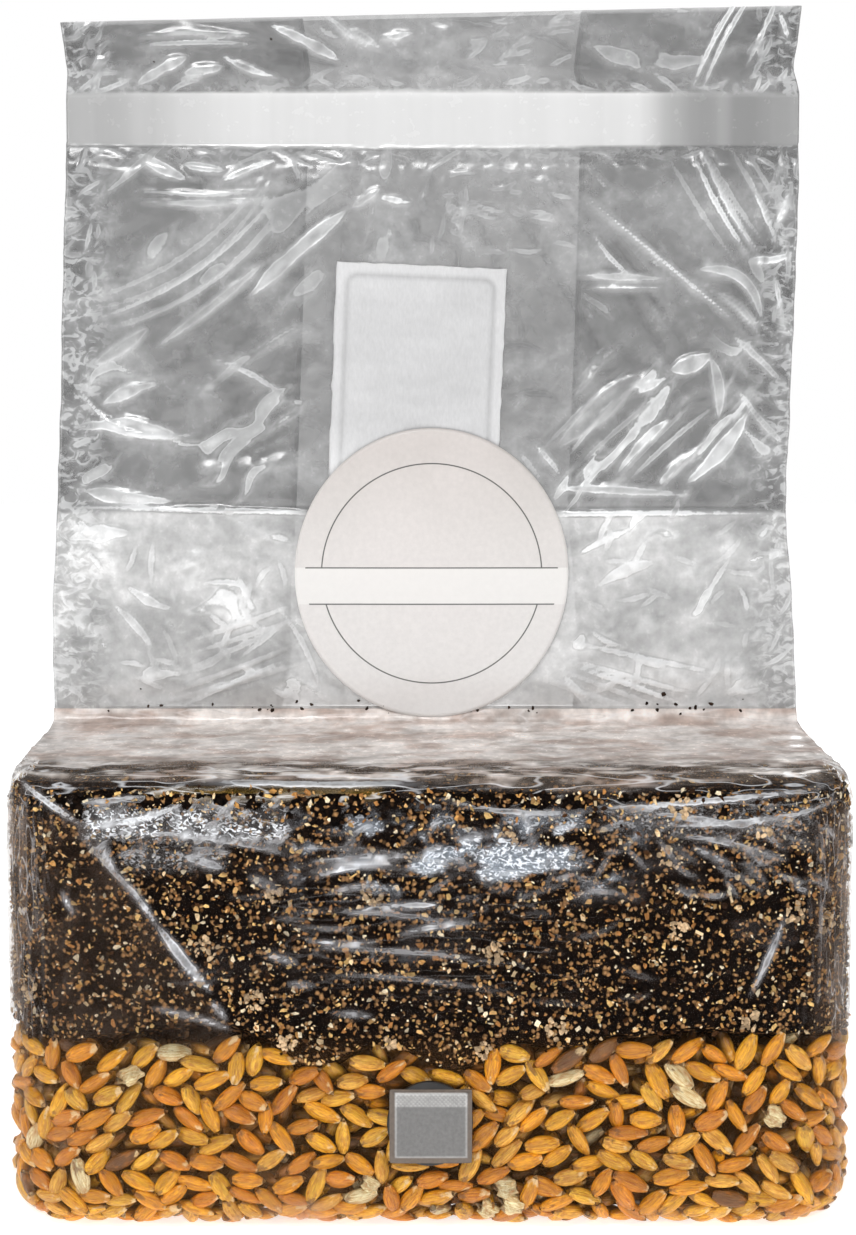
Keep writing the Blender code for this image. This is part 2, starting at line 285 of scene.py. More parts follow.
def film_surface(lengths, columns):
    """Points of the undisturbed film at the given film lengths, rows by columns."""
    fine, table = film_profile()
    rows = np.stack([np.interp(lengths, fine, table[:, k]) for k in range(7)], axis=1)
    part, share, side, depth = columns.T
    x, y = section_points(rows, part, share)
    x = x * side[None, :] + rows[:, 6][:, None]
    tucked = smooth(RIDGE_Z - 4 * MM, RIDGE_Z + 20 * MM, rows[:, 0])[:, None]
    x = x + 3 * MM * tucked * (part * share)[None, :]
    y = y * depth[None, :]
    z = np.repeat(rows[:, 0][:, None], len(columns), axis=1)
    lift = smooth(BAND_Z[1], TOP_Z, z) * MOUTH_RISE * x / 0.1
    return np.stack([x, y, z + lift], axis=-1)


# ---------------------------------------------------------------- creases in the film
class Sheet:
    """Relief, crease strength, soft light and crisp highlights of flat film, x and z in mm."""

    def __init__(self, x, z):
        self.x, self.z = x, z
        self.height = np.zeros_like(x)
        self.crease = np.zeros_like(x)
        self.glow = np.zeros_like(x)
        self.field = np.zeros_like(x)
        self.level = np.zeros_like(x)

    def mark(self, near, edge, level):
        """A crisp highlight: edge is the distance outside its outline, level how light it is."""
        field = np.clip(0.5 - edge / 2.8, 0, 1)
        stronger = field > self.field[near]
        self.level[near] = np.where(stronger, level, self.level[near])
        self.field[near] = np.where(stronger, field, self.field[near])

    def near_line(self, start, end, bend, reach):
        """Points within reach of a bowed line: mask, signed distance and share along it."""
        p0, p1 = np.array(start, float), np.array(end, float)
        side = np.array([-(p1 - p0)[1], (p1 - p0)[0]])
        middle = (p0 + p1) / 2 + bend * side
        t = np.linspace(0, 1, 11)[:, None]
        line = (1 - t) ** 2 * p0 + 2 * t * (1 - t) * middle + t ** 2 * p1
        low, high = line.min(0) - reach, line.max(0) + reach
        near = (self.x > low[0]) & (self.x < high[0]) & (self.z > low[1]) & (self.z < high[1])
        x, z = self.x[near], self.z[near]
        best = np.full(x.shape, 1e9)
        signed, along = np.zeros_like(x), np.zeros_like(x)
        for k in range(10):
            (ax, az), (dx, dz) = line[k], line[k + 1] - line[k]
            f = np.clip(((x - ax) * dx + (z - az) * dz) / (dx * dx + dz * dz), 0, 1)
            ox, oz = x - ax - f * dx, z - az - f * dz
            gap = np.hypot(ox, oz)
            closer = gap < best
            best = np.where(closer, gap, best)
            signed = np.where(closer, np.sign(dx * oz - dz * ox) * gap, signed)
            along = np.where(closer, (k + f) / 10, along)
        return near, signed, along

    def fold(self, start, end, bend, width, height):
        """One ridge along a bowed line, with a shallow valley beside it."""
        near, signed, along = self.near_line(start, end, bend, 4 * width)
        taper = np.sin(math.pi * np.clip(along, 0, 1)) ** 0.7
        w = width * (0.55 + 0.45 * taper)
        ridge = np.exp(-(signed / w) ** 2) - 0.5 * np.exp(-((signed - 1.7 * w) / w) ** 2)
        self.height[near] += height * taper * ridge
        strength = taper * min(1.0, height / 0.8)
        self.crease[near] += 0.6 * strength * np.exp(-(signed / np.maximum(0.5 * w, 0.75)) ** 2)
        # a painted crisp highlight along the ridge
        self.mark(near, np.abs(signed) - 0.7 * taper, 0.75 * strength)

    def lens(self, start, end, bend, half, height, light):
        """A long leaf-shaped fold with crisp edges and a lit middle."""
        near, signed, along = self.near_line(start, end, bend, half + 2.5)
        taper = np.sin(math.pi * np.clip(along, 0, 1)) ** 0.6
        ragged = 1 + 0.25 * noise(along * 4, start[0], start[1], 23)
        edge = np.abs(signed) - half * taper * ragged
        self.height[near] += height * taper * smooth(0.9, -0.9, edge)
        self.crease[near] += 0.35 * taper * np.exp(-((edge + 0.3) / 0.75) ** 2)
        lit = 0.65 + 0.35 * noise(along * 9, signed / 2, start[0], 24)
        self.glow[near] += 0.45 * light * taper * lit * smooth(0.8, -0.8, edge)
        self.mark(near, edge + 0.2, light * lit * smooth(0.0, 0.12, along) * smooth(1.0, 0.88, along))

    def blob(self, centre, long, wide, angle, height, light):
        """A soft swelling with a painted glow, stronger on its upper half."""
        turn = math.radians(angle)
        dx, dz = self.x - centre[0], self.z - centre[1]
        u = (dx * math.cos(turn) + dz * math.sin(turn)) / long
        w = (dz * math.cos(turn) - dx * math.sin(turn)) / wide
        r = np.hypot(u, w) * (1 + 0.3 * noise(self.x / 5, self.z / 5, centre[0], 25))
        self.height += height * np.exp(-(r * 1.1) ** 2)
        broken = smooth(-0.7, 0.6, fractal(self.x / 4, self.z / 2.2, centre[0], 26))
        self.glow += 0.8 * light * np.exp(-(r * 1.25) ** 2) * (0.7 + 0.3 * np.clip(w, -1, 1)) * broken

    def wisps(self, angle, long, wide, height, light, where, seed):
        """Drawn-out soft folds lying near one direction, inside a mask."""
        turn = math.radians(angle)
        u = self.x * math.cos(turn) + self.z * math.sin(turn)
        w = self.z * math.cos(turn) - self.x * math.sin(turn)
        w = w + wide * 1.1 * noise(u / (0.8 * long), w / (2.2 * wide), 0.5, seed + 1)
        u = u + long * 0.5 * noise(u / long, w / wide, 4.5, seed + 2)
        value = noise(u / long, w / wide, 0.5, seed)
        value = value + 0.55 * noise(2.1 * u / long, 2.3 * w / wide, 0.5, seed + 3)
        ridge = np.clip(1 - 2.2 * np.abs(value - 0.55), 0, 1)
        self.height += where * height * value
        grit = 0.75 + 0.35 * noise(u / (0.3 * long), w / (0.4 * wide), 2.5, seed + 4)
        # painted soft glow and painted crisp highlights on the ridges
        self.glow += where * light * np.clip(value - 0.05, 0, 1.3) ** 1.5 * grit
        self.crease += where * light * 0.35 * smooth(0.72, 1.0, ridge)
        near = where > 0.02
        self.mark(near, (0.66 - value[near]) * wide, 0.7 * light * where[near])

    def fan(self, starts, ends, count, bend, width, height, jitter, seed):
        """Folds spread between two start points and two end points."""
        rng = np.random.default_rng(seed)
        for k in range(count):
            f = (k + rng.uniform(-0.3, 0.3)) / max(1, count - 1)
            p0 = np.array(starts[0]) + f * (np.array(starts[1]) - np.array(starts[0]))
            p1 = np.array(ends[0]) + f * (np.array(ends[1]) - np.array(ends[0]))
            p0 = p0 + rng.normal(0, jitter, 2)
            p1 = p1 + rng.normal(0, jitter, 2)
            self.fold(p0, p1, bend * rng.uniform(0.6, 1.4), width * rng.uniform(0.7, 1.4),
                      height * rng.uniform(0.5, 1.2))

    def scatter(self, low, high, count, angle, spread, length, width, height, seed):
        """Short folds at random places in a box, near one direction (degrees)."""
        rng = np.random.default_rng(seed)
        for _ in range(count):
            centre = rng.uniform(low, high)
            turn = math.radians(angle + rng.normal(0, spread))
            half = np.array([math.cos(turn), math.sin(turn)]) * length * rng.uniform(0.4, 1.0) / 2
            self.fold(centre - half, centre + half, rng.uniform(-0.3, 0.3),
                      width * rng.uniform(0.6, 1.4), height * rng.uniform(0.4, 1.2))


def stuck_down(x, z):
    """1 under the label and the filter patch, where they hold the film flat (mm in)."""
    dx = (x - LABEL_AT.x / MM) / 41
    dz = (z - LABEL_AT.z / MM) / 43
    label = 1 - smooth(0.86, 1.06, np.hypot(dx, dz))
    px = np.abs(x - PATCH_AT.x / MM) / 26
    pz = np.abs(z - PATCH_AT.z / MM) / 34
    patch = 1 - smooth(0.88, 1.06, np.maximum(px, pz))
    return np.maximum(label, patch)


def puff(x, z):
    """Gentle outward swell of the front of the upper bag, in mm."""
    ends = smooth(0, 14, z - RIDGE_Z / MM) * smooth(0, 16, BAND_Z[0] / MM - z)
    sides = smooth(0, 26, 101 - np.abs(x))
    swell = 1.6 + 1.5 * noise(x / 46, z / 40, 0.5, 5) + 0.5 * noise(x / 21, z / 24, 0.5, 6)
    fall = 1.4 * smooth(22, 0, np.abs(z - CREASE_Z / MM)) * (1 - 0.4 * stuck_down(x, z))
    return np.maximum(ends * sides * swell + fall * sides, 0.0)


# Folds worth placing one by one, in mm on the front of the bag (X, Z at both ends).
# leaf-shaped folds: x0, z0, x1, z1, bend, half width, height, light
SLEEVE_LENSES = (
    (-21.8, 266.5, -49.7, 242, -0.04, 2.1, 0.9, 0.75), (-44.4, 252.4, -75.4, 228.4, 0.03, 1.3, 0.8, 0.4),
    (-76.2, 234.5, -93, 223.5, 0.05, 1.8, 0.8, 0.35), (-80, 281.5, -65.5, 274, -0.05, 1.7, 0.8, 0.85),
    (-67.5, 278.5, -55.5, 276.6, 0.0, 1.5, 0.7, 0.75), (-57, 273.4, -40.6, 279.8, 0.08, 1.1, 0.6, 0.75),
    (-81, 269, -44, 269.2, -0.08, 1, 0.6, 0.45), (-14, 269.5, -4, 267.6, 0.0, 1, 0.6, 0.95),
    (-13, 272, -22, 266, 0.0, 1.2, 0.5, 0.5),
    (40.5, 248.2, 64.3, 247.4, 0.0, 1.1, 0.5, 0.6), (40.5, 245.4, 63.5, 245, 0.0, 0.7, 0.5, 0.95),
    (41.5, 270.3, 85.6, 233.9, 0.0, 0.7, 0.7, 0.7), (71.5, 249.5, 90.8, 234.5, 0.55, 1.6, 0.8, 0.7),
    (76.4, 244.2, 90.7, 229.9, 0.25, 1.1, 0.7, 0.3), (97.5, 270.8, 94.3, 261.4, 0.05, 0.9, 0.5, 1.0),
    (87, 253.2, 99.5, 255, -0.25, 1.5, 0.8, 0.95), (56.5, 216, 65, 220.6, 0.05, 1.1, 0.6, 0.95),
    (65.5, 222.5, 77, 227, -0.1, 2.5, 0.9, 0.9), (76.5, 226.5, 79, 209, 0.15, 1.6, 0.7, 0.6),
    (82.4, 232.1, 97, 218.8, 0.03, 1.2, 0.7, 0.6), (83.9, 217.8, 97.5, 202, -0.06, 1.2, 0.7, 0.45),
    (51, 193.8, 66, 209.5, 0.1, 1.5, 0.7, 0.95), (62.5, 191, 73.5, 200.8, 0.1, 1.3, 0.6, 0.9),
    (70, 191.6, 87.5, 212, -0.12, 2.1, 0.8, 0.95), (34.8, 201.5, 58, 222, 0.0, 3.2, 0.7, 0.38),
    (24.5, 200.2, 30.5, 192.6, 0.0, 0.9, 0.5, 0.7), (28, 203, 36, 193.4, 0.05, 1, 0.5, 0.75),
    (33, 190.4, 72, 188.4, 0.02, 1.3, 0.6, 0.85), (-96, 190, -70, 186.8, -0.05, 2.2, 0.7, 0.8),
    (-97, 207, -68, 204, 0.12, 2.4, 0.8, 0.75), (-90, 213, -74, 219, 0.1, 1.8, 0.7, 0.6),
    (-87.5, 158.5, -75.5, 144.7, 0.1, 1.2, 0.7, 0.6), (-84, 164, -70, 157, -0.15, 1.4, 0.7, 0.6),
    (36.4, 139.6, 47.5, 125.8, 0.0, 1.5, 0.7, 0.7), (40.6, 172, 55, 179.2, 0.05, 1.1, 0.6, 0.9),
    (46, 163, 62, 170, 0.15, 1.6, 0.6, 0.75), (-100, 176, -82, 178, 0.1, 2.2, 0.6, 0.7),
    (-44, 316, -24, 306, 0.05, 1.6, 0.8, 0.8), (-31, 321, -16, 309, -0.04, 1, 0.6, 0.5),
)
# plain ridges: x0, z0, x1, z1, bend, width, height
SLEEVE_FOLDS = (
    (-80.6, 271.4, -45.8, 271, -0.06, 0.6, 0.5), (-96, 284, -80, 279, 0.1, 0.7, 0.5),
    (71.1, 283.5, 88.5, 251.8, -0.09, 0.6, 0.9), (74, 283.5, 91, 252.5, -0.09, 0.6, 0.7),
    (85.5, 277.5, 95.2, 255.5, 0.03, 0.5, 0.7), (93.8, 249, 96.8, 235, 0.02, 0.6, 0.7),
    (44, 260.5, 58, 246, -0.15, 0.9, 0.6), (-98, 221, -62, 206, -0.42, 0.8, 0.8),
    (-60, 226, -38, 214, 0.1, 0.9, 0.5), (-72, 128.2, -39, 143.3, 0.02, 0.6, 0.7),
    (-52.7, 143.3, -38.9, 154.3, 0, 0.6, 0.5),
    (37.8, 141.9, 72.3, 129.5, 0.02, 0.5, 0.7), (-42, 158, -30, 134, 0.12, 0.6, 0.6),
)
# soft swellings: x, z, half length, half width, lean (degrees), height, light
SLEEVE_BLOBS = (
    (-85, 246.5, 12.5, 4.2, 6, 1.1, 0.55), (-93, 256, 4, 3, 30, 0.7, 0.4),
    (-86, 262, 5, 2.6, 20, 0.7, 0.4),
    (-60, 194.5, 4.2, 3.2, 0, 1, 0.55), (-51, 195.5, 4.6, 3.6, 0, 1.1, 0.6),
    (-41.5, 197, 3.2, 3, 0, 0.8, 0.5),
    (-70, 212, 3.6, 2.4, 20, 0.7, 0.5), (-60, 217, 3.4, 2.2, 10, 0.6, 0.45),
    (-92, 199.5, 5, 3, 10, 0.7, 0.35),
    (97, 233, 2.6, 3.2, 0, 0.8, 0.7), (94, 227, 3.2, 2.2, 0, 0.8, 0.6), (58, 205, 3.4, 2.4, 45, 0.7, 0.45),
    (82, 141, 6, 4.5, 20, 1, 0.85), (91, 150, 7, 4, 30, 1, 0.8), (60, 153, 7, 4.5, 25, 0.9, 0.65),
    (48, 150, 5, 4, 0, 0.8, 0.5), (73, 168, 8, 3.4, 35, 0.9, 0.7), (-90, 171, 7, 3.6, -10, 0.9, 0.65),
    (-64, 171, 7, 3.2, 15, 0.8, 0.6), (-95, 146, 4, 5, 0, 0.8, 0.45),
    (4, 312, 9, 3, 20, 0.7, 0.45), (80, 309, 7, 3, 40, 0.7, 0.5), (-6, 254, 6, 4, 60, 0.6, 0.25),
)
# soft drawn-out folds, running the way the bag was pulled in each region: lean (degrees),
# length, width, height, light, X range, Z range, softness of the region's sides, seed
SLEEVE_WISPS = (
    (38, 26, 6.5, 0.45, 0.34, (-104, -26), (222, 284), 8, 121),
    (25, 17, 6, 0.5, 0.55, (-104, -30), (184, 226), 8, 124),
    (-52, 24, 4.6, 0.4, 0.36, (44, 104), (234, 284), 8, 127),
    (50, 13, 3.6, 0.55, 0.75, (22, 90), (186, 226), 5, 130),
    (-48, 15, 4.2, 0.45, 0.55, (80, 103), (196, 240), 5, 133),
    (80, 12, 4, 0.35, 0.3, (-30, 40), (250, 284), 5, 136),
    (-12, 16, 3.8, 0.4, 0.36, (-104, 104), (299, 325), 3, 139),
    (-28, 12, 5.5, 0.45, 0.6, (-104, -30), (132, 184), 4, 142),
    (30, 11, 5, 0.45, 0.6, (34, 104), (132, 184), 4, 145),
)
# bundles of thin lines from between two points to between two others: count, bend, width,
# height, jitter, seed
SLEEVE_FANS = (
    ([(-36, 271), (-42, 277)], [(-90, 232), (-99, 240)], 5, 0.2, 0.6, 0.4, 0.6, 1),
    ([(66, 284), (84, 284)], [(86, 251), (99, 262)], 5, -0.05, 0.6, 0.45, 0.8, 3),
    ([(30, 199), (60, 192)], [(54, 222), (86, 214)], 6, 0.05, 0.8, 0.5, 2, 5),
)
LABEL_RAYS = (
    ([(-38, 158), (-34, 142)], [(-66, 147), (-76, 128)], 7, 0.02, 0.6, 0.45, 1.5, 19),
    ([(36, 146), (34, 138)], [(80, 138), (60, 124)], 5, -0.02, 0.6, 0.45, 1.5, 20),
)
# short folds strewn over boxes: low corner, high corner, count, lean and spread (degrees),
# length, width, height, seed; those 6 mm below to 5 mm above the seal are its gathers
SLEEVE_SCATTERS = (
    ((2, 253), (37, 281), 26, -12, 14, 11, 0.55, 0.3, 8),
    ((0, 254), (14, 272), 8, 85, 10, 11, 0.6, 0.3, 18),
    ((-101, 242), (-91, 282), 26, 55, 40, 12, 0.5, 0.4, 11),
    ((-101, 299), (-88, 319), 20, 60, 40, 10, 0.5, 0.4, 28),
    ((94, 226), (101, 282), 14, 78, 14, 14, 0.5, 0.4, 12),
    ((86, 299), (101, 320), 14, 65, 25, 9, 0.5, 0.45, 29),
    ((-98, BAND_Z[0] / MM - 6), (98, BAND_Z[0] / MM - 1), 20, 0, 22, 15, 0.6, 0.4, 13),
    ((-98, BAND_Z[1] / MM + 1), (98, BAND_Z[1] / MM + 5), 14, 5, 25, 13, 0.6, 0.35, 14),
    ((2, 300), (36, 318), 20, 12, 14, 11, 0.55, 0.3, 16),
)
# the leaf-shaped folds, short folds and plain ridges of the brick, in the same columns
BRICK_LENSES = (
    (-84.5, 102.5, -79, 93, 0.03, 0.6, 0.5, 0.8), (-80, 95, -69, 80, 0.05, 0.8, 0.6, 0.8),
    (-70.5, 82.5, -55, 62.6, -0.03, 1.3, 0.8, 0.95), (-56, 61.5, -51.5, 56, 0, 0.8, 0.5, 0.8),
    (90.6, 84, 81, 61.5, 0.04, 0.8, 0.7, 0.75), (-94, 90, -90.5, 83, 0, 0.5, 0.4, 0.8),
    (-31, 97.6, -4, 99, -0.06, 0.9, 0.5, 0.85), (-30.5, 92.4, -8, 96, 0.14, 1, 0.5, 0.9),
    (-27, 88.5, -12, 91, 0.1, 0.7, 0.5, 0.7), (-22, 83, 4, 85.6, 0.1, 0.9, 0.5, 0.8),
    (-33, 77.4, -12, 76.6, -0.1, 0.8, 0.5, 0.8), (-9, 77.8, 12, 81.4, 0.08, 0.8, 0.5, 0.75),
    (-42, 73, -33, 70.6, 0.05, 0.9, 0.5, 0.65), (-37, 65.5, -29, 65, 0.05, 0.8, 0.4, 0.6),
    (-26, 58, -14, 57, 0.05, 0.8, 0.4, 0.45), (-72, 59.5, -50, 53.5, 0.06, 0.7, 0.4, 0.65),
    (-47, 93.5, -37, 88.5, 0.06, 1.1, 0.5, 0.45), (-63, 98.5, -52, 95, 0.05, 1.2, 0.5, 0.6),
    (66, 101, 78, 95.5, 0.02, 0.8, 0.5, 0.6), (20, 112, 26, 99, 0.3, 0.5, 0.5, 0.4),
)
BRICK_SCATTERS = (
    ((-78, 60), (76, 90), 12, 3, 9, 20, 0.7, 0.28, 44),
    ((-84, 99), (-34, 113), 60, 10, 50, 7, 0.7, 0.45, 45),
    ((60, 88), (104, 111), 34, -22, 15, 14, 0.6, 0.4, 46),
    ((-30, 90), (52, 106), 30, 12, 30, 12, 0.8, 0.35, 49),
)
BRICK_FOLDS = (
    (-108, 117, -88, 106, 0.05, 1, 1), (-90, 106.5, -60, 113, -0.14, 0.9, 0.9),
    (-66, 113, -20, 114.2, -0.03, 0.8, 0.3), (0, 113.5, 42, 110, -0.1, 0.9, 0.6),
    (36, 110, 106, 116, -0.02, 1, 1), (52, 107, 108, 113, -0.1, 0.7, 0.7),
    (-80, 104.5, -32, 97.5, 0.08, 0.7, 0.6), (-90, 105, -75, 88, 0.02, 0.6, 0.4),
    (-94, 112, -60, 117.2, -0.1, 0.7, 0.6), (-62, 117.2, 0, 116.6, -0.02, 0.7, 0.6),
    (60, 104, 90, 98, 0.06, 0.6, 0.6), (48, 110, 88, 104, 0.05, 0.6, 0.6),
)


def box_mask(x, z, x_range, z_range, soft=8.0):
    """1 inside a box in mm, falling off softly at its sides."""
    across = smooth(-soft, soft, x - x_range[0]) * smooth(-soft, soft, x_range[1] - x)
    return across * smooth(-soft, soft, z - z_range[0]) * smooth(-soft, soft, z_range[1] - z)


def sleeve_creases(x, z):
    """All folds on the front of the upper bag; x and z in mm."""
    s = Sheet(x, z)
    band_low, band_high = BAND_Z[0] / MM, BAND_Z[1] / MM
    crease = CREASE_Z / MM
    flip = band_low + band_high
    for x0, z0, x1, z1, bend, half, height, light in SLEEVE_LENSES:
        s.lens((x0, z0), (x1, z1), bend, half, height, light)
        if 258 < min(z0, z1) < band_low:     # the strip above the band creases the same way
            s.lens((x0, flip - z0), (x1, flip - z1), -bend, half, height, 0.85 * light)
    for x0, z0, x1, z1, bend, width, height in SLEEVE_FOLDS:
        s.fold((x0, z0), (x1, z1), bend, width, height)
        if 250 < min(z0, z1):
            s.fold((x0, flip - z0), (x1, flip - z1), -bend, width, height)
    for x0, z0, long, wide, angle, height, light in SLEEVE_BLOBS:
        s.blob((x0, z0), long, wide, angle, height, light)
    for lean, long, wide, height, light, x_range, z_range, soft, seed in SLEEVE_WISPS:
        s.wisps(lean, long, wide, height, light, box_mask(x, z, x_range, z_range, soft), seed)
    for values in SLEEVE_FANS:
        s.fan(*values)
    for values in SLEEVE_SCATTERS:
        s.scatter(*values)
    # the old cross fold and rays running out from the label
    s.fold((-104, crease + 1), (-2, crease - 1.6), 0.01, 0.8, 0.9)
    s.fold((-4, crease - 1.6), (101, crease - 0.5), 0.01, 0.8, 0.9)
    for values in LABEL_RAYS:
        s.fan(*values)
    s.scatter((-100, 133), (-36, 180), 26, -35, 40, 15, 0.8, 0.45, 21)
    s.scatter((38, 133), (98, 180), 30, 35, 40, 13, 0.8, 0.45, 22)
    free = 1 - 0.95 * stuck_down(x, z)
    fine = 0.07 * fractal(x / 5.5, z / 5.0, 0.5, 31) + 0.05 * crumple(x, z, 4.0, 33)
    inside = smooth(0, 1.5, band_low - z) + smooth(0, 1.5, z - band_high)
    keep = free * np.clip(inside, 0, 1) * smooth(0, 5, z - BORDER_Z / MM)
    return sheet_layers(s, s.height + fine, keep)


def sheet_layers(s, height, keep):
    """Relief, crease, soft light, and field and level of the crisp highlights, masked."""
    return (height * keep, np.clip(s.crease, 0, 1) * keep, np.clip(s.glow, 0, 1) * keep,
            s.field, np.clip(s.level, 0, 1) * keep)


def brick_creases(s_mm, v_mm, z_mm, side):
    """Folds of the film stretched over the brick: s runs around the bag from the front
    middle, v up the film and z is height, all in mm; side is 1 on the front half."""
    s = Sheet(s_mm, z_mm)
    for x0, z0, x1, z1, bend, half, height, light in BRICK_LENSES:
        s.lens((x0, z0), (x1, z1), bend, half, height, light)
    for x0, z0, x1, z1, bend, width, height in BRICK_FOLDS:
        s.fold((x0, z0), (x1, z1), bend, width, height)
    s.fan([(-40, 101), (-30, 66)], [(14, 99), (22, 62)], 5, 0.05, 0.8, 0.35, 1.8, 42)
    for values in BRICK_SCATTERS:
        s.scatter(*values)
    front, crease, glow = s.height * side, s.crease * side, s.glow * side
    corner = np.exp(-((np.abs(s_mm) - 103) / 13) ** 2) + np.exp(-((np.abs(s_mm) - 226) / 13) ** 2)
    upright = noise(s_mm / 2.8, z_mm / 24, 0.5, 51) + 0.6 * noise(s_mm / 1.6, z_mm / 12, 0.5, 52)
    ridge = 1 - np.abs(upright)
    height = 0.3 * corner * (ridge - 0.5)
    crease = crease + 0.16 * corner * smooth(0.88, 1.0, ridge)
    away = smooth(112, 130, np.abs(s_mm))
    level = noise(s_mm / 24, z_mm / 4.2, 0.5, 53)
    height = height + (0.05 + 0.2 * away) * level
    height = height + away * 0.22 * crumple(s_mm, z_mm, 5.5, 54)
    crease = crease + away * 0.35 * smooth(0.78, 1.0, 1 - np.abs(level)) * (1 - smooth(112, 117, z_mm))
    upper = smooth(96, 108, z_mm)
    height = height + upper * 0.3 * fractal(s_mm / 9, v_mm / 4.5, 0.5, 55)
    height = height + 0.04 * crumple(s_mm, v_mm, 3.0, 56)
    return front + height, np.clip(crease, 0, 1), np.clip(glow, 0, 1), s.field, np.clip(s.level, 0, 1) * side


# ---------------------------------------------------------------- the film pieces
FRONT_COLUMNS, SIDE_COLUMNS, BACK_COLUMNS = 140, 18, 50
BRICK_ROW, SLEEVE_ROW = 0.95 * MM, 0.85 * MM
BORDER_Z = RIDGE_Z + 3 * MM            # the two film pieces meet here


def around(points):
    """Distance around each row from the front middle, in mm, positive towards +X."""
    step = np.linalg.norm(np.diff(points, axis=1), axis=2)
    run = np.concatenate((np.zeros((len(points), 1)), np.cumsum(step, axis=1)), axis=1)
    total = run[:, -1:] + np.linalg.norm(points[:, 0] - points[:, -1], axis=1)[:, None]
    return np.where(run > total / 2, run - total, run) / MM


def blend_colour(colour, target, amount):
    """Moves colours towards target, each by its own amount."""
    return colour + (np.asarray(target, float) - colour) * amount[..., None]


def close_underside(points, rim):
    """The wall's points and faces with rings added that close the base to its middle."""
    middle = rim.mean(axis=0)
    rings = []
    for share in (0.91, 0.78, 0.62, 0.45, 0.28, 0.12, 0.0):
        ring = middle + (rim - middle) * share
        lift = 0.35 * np.abs(noise(ring[:, 0] / MM / 18, ring[:, 1] / MM / 9, 0.5, 60))
        ring[:, 2] = lift * MM * (1 - share) + 0.02 * MM
        rings.append(ring)
    rows, count = points.shape[:2]
    everything = np.concatenate((points, rings[:-1])).reshape(-1, 3)
    everything = np.concatenate((everything, rings[-1][:1]))
    faces = [ring_faces(rows, count)]
    j, k = loop_pairs(count)
    upper = 0
    for lower in range(rows * count, len(everything) - 1, count):
        faces.append(np.stack([upper + j, lower + j, lower + k, upper + k], axis=-1))
        upper = lower
    faces.append(np.stack([upper + j, np.full(count, len(everything) - 1), upper + k], axis=-1))
    return everything, faces


def brick_film(columns, border):
    """The film over the brick, from its underside to just above the roof's ridge."""
    lengths = np.linspace(0, border, int(border / BRICK_ROW))
    base = film_surface(lengths, columns)
    s = around(base)
    v = np.repeat(lengths[:, None] / MM, len(columns), axis=1)
    x, y, z = base[..., 0] / MM, base[..., 1] / MM, base[..., 2] / MM
    on_front = 1 - smooth(106, 118, np.abs(s))
    height, crease, glow, field, level = brick_creases(s, v, z, on_front)
    tint, veil, crumpled_sheen, lines, upright = brick_tint(s, v, z)
    height = height * smooth(2, 16, v) * smooth(0, 5, border / MM - v)
    tight = smooth(88, 100, np.abs(s)) * (1 - smooth(112.5, 117, z))
    height = np.clip(height, -0.25, 0.9 - 0.6 * tight) + 0.6 * crumpled_sheen
    port = np.hypot(x - PORT_AT.x / MM, z - PORT_AT.z / MM) / (PORT_HIGH.x / MM + 3)
    held = np.where(y < 0, 1 - smooth(0.9, 1.3, port), 0)
    height = height * (1 - held)
    points = base + grid_normals(base) * (height * MM)[..., None]
    points[..., 2] = np.maximum(points[..., 2], 0.02 * MM)
    everything, faces = close_underside(points, base[0])
    piece = mesh_piece("bag_brick", everything, faces, ("bag",))

    # painted light: the soft glow whitens the tint and thickens the veil as a painted highlight, and the leaf
    # carries the painted crisp highlights, the painted crumpled sheen and where the painted wrinkle lines go
    glow = glow * (1 - held)
    leaf = np.stack([field, level * (1 - held), crumpled_sheen, lines * (1 - held)], axis=-1).reshape(-1, 4)
    tint = blend_colour(tint, (0.8, 0.86, 0.95), glow)
    veil = np.maximum(veil, 0.7 * glow)
    rgba = np.concatenate((tint, np.clip(veil, 0.02, 0.94)[..., None]), axis=-1).reshape(-1, 4)
    spare = len(everything) - s.size           # points of the underside
    rgba = np.concatenate((rgba, np.tile([0.5, 0.32, 0.22, 0.15], (spare, 1))))
    crease = (crease * (1 - held)).ravel()
    paint(piece, "tint", rgba)
    paint(piece, "crease", np.concatenate((crease, np.zeros(spare))))
    paint(piece, "leaf", np.concatenate((leaf, np.zeros((spare, 4)))))
    paint(piece, "upright", np.concatenate((upright.ravel(), np.zeros(spare))))
    return piece


class Coat:
    """Colour and opacity painted on the film, one coat over another."""

    def __init__(self, shape, colour, veil):
        self.tint = np.zeros(shape + (3,)) + colour
        self.veil = np.full(shape, veil)

    def add(self, colour, amount, veil):
        """Blends towards colour by amount and adds veil to the opacity."""
        self.tint = blend_colour(self.tint, colour, amount)
        self.veil = self.veil + veil


def crumple_mask(s, z):
    """Where the film is crumpled and gets a painted silvery sheen, mostly at the upper left of the front."""
    crumpled_sheen = box_mask(s, z, (-88, -36), (102.5, 111.0), 2.4)
    crumpled_sheen = np.clip(crumpled_sheen * (0.85 + 0.5 * noise(s / 6, z / 4, 0.5, 78)), 0, 1)
    crumpled_sheen = np.maximum(crumpled_sheen, 0.55 * box_mask(s, z, (-78, -52), (95, 101), 2.5))
    return np.maximum(crumpled_sheen, 0.4 * box_mask(s, z, (44, 98), (103, 112), 3))


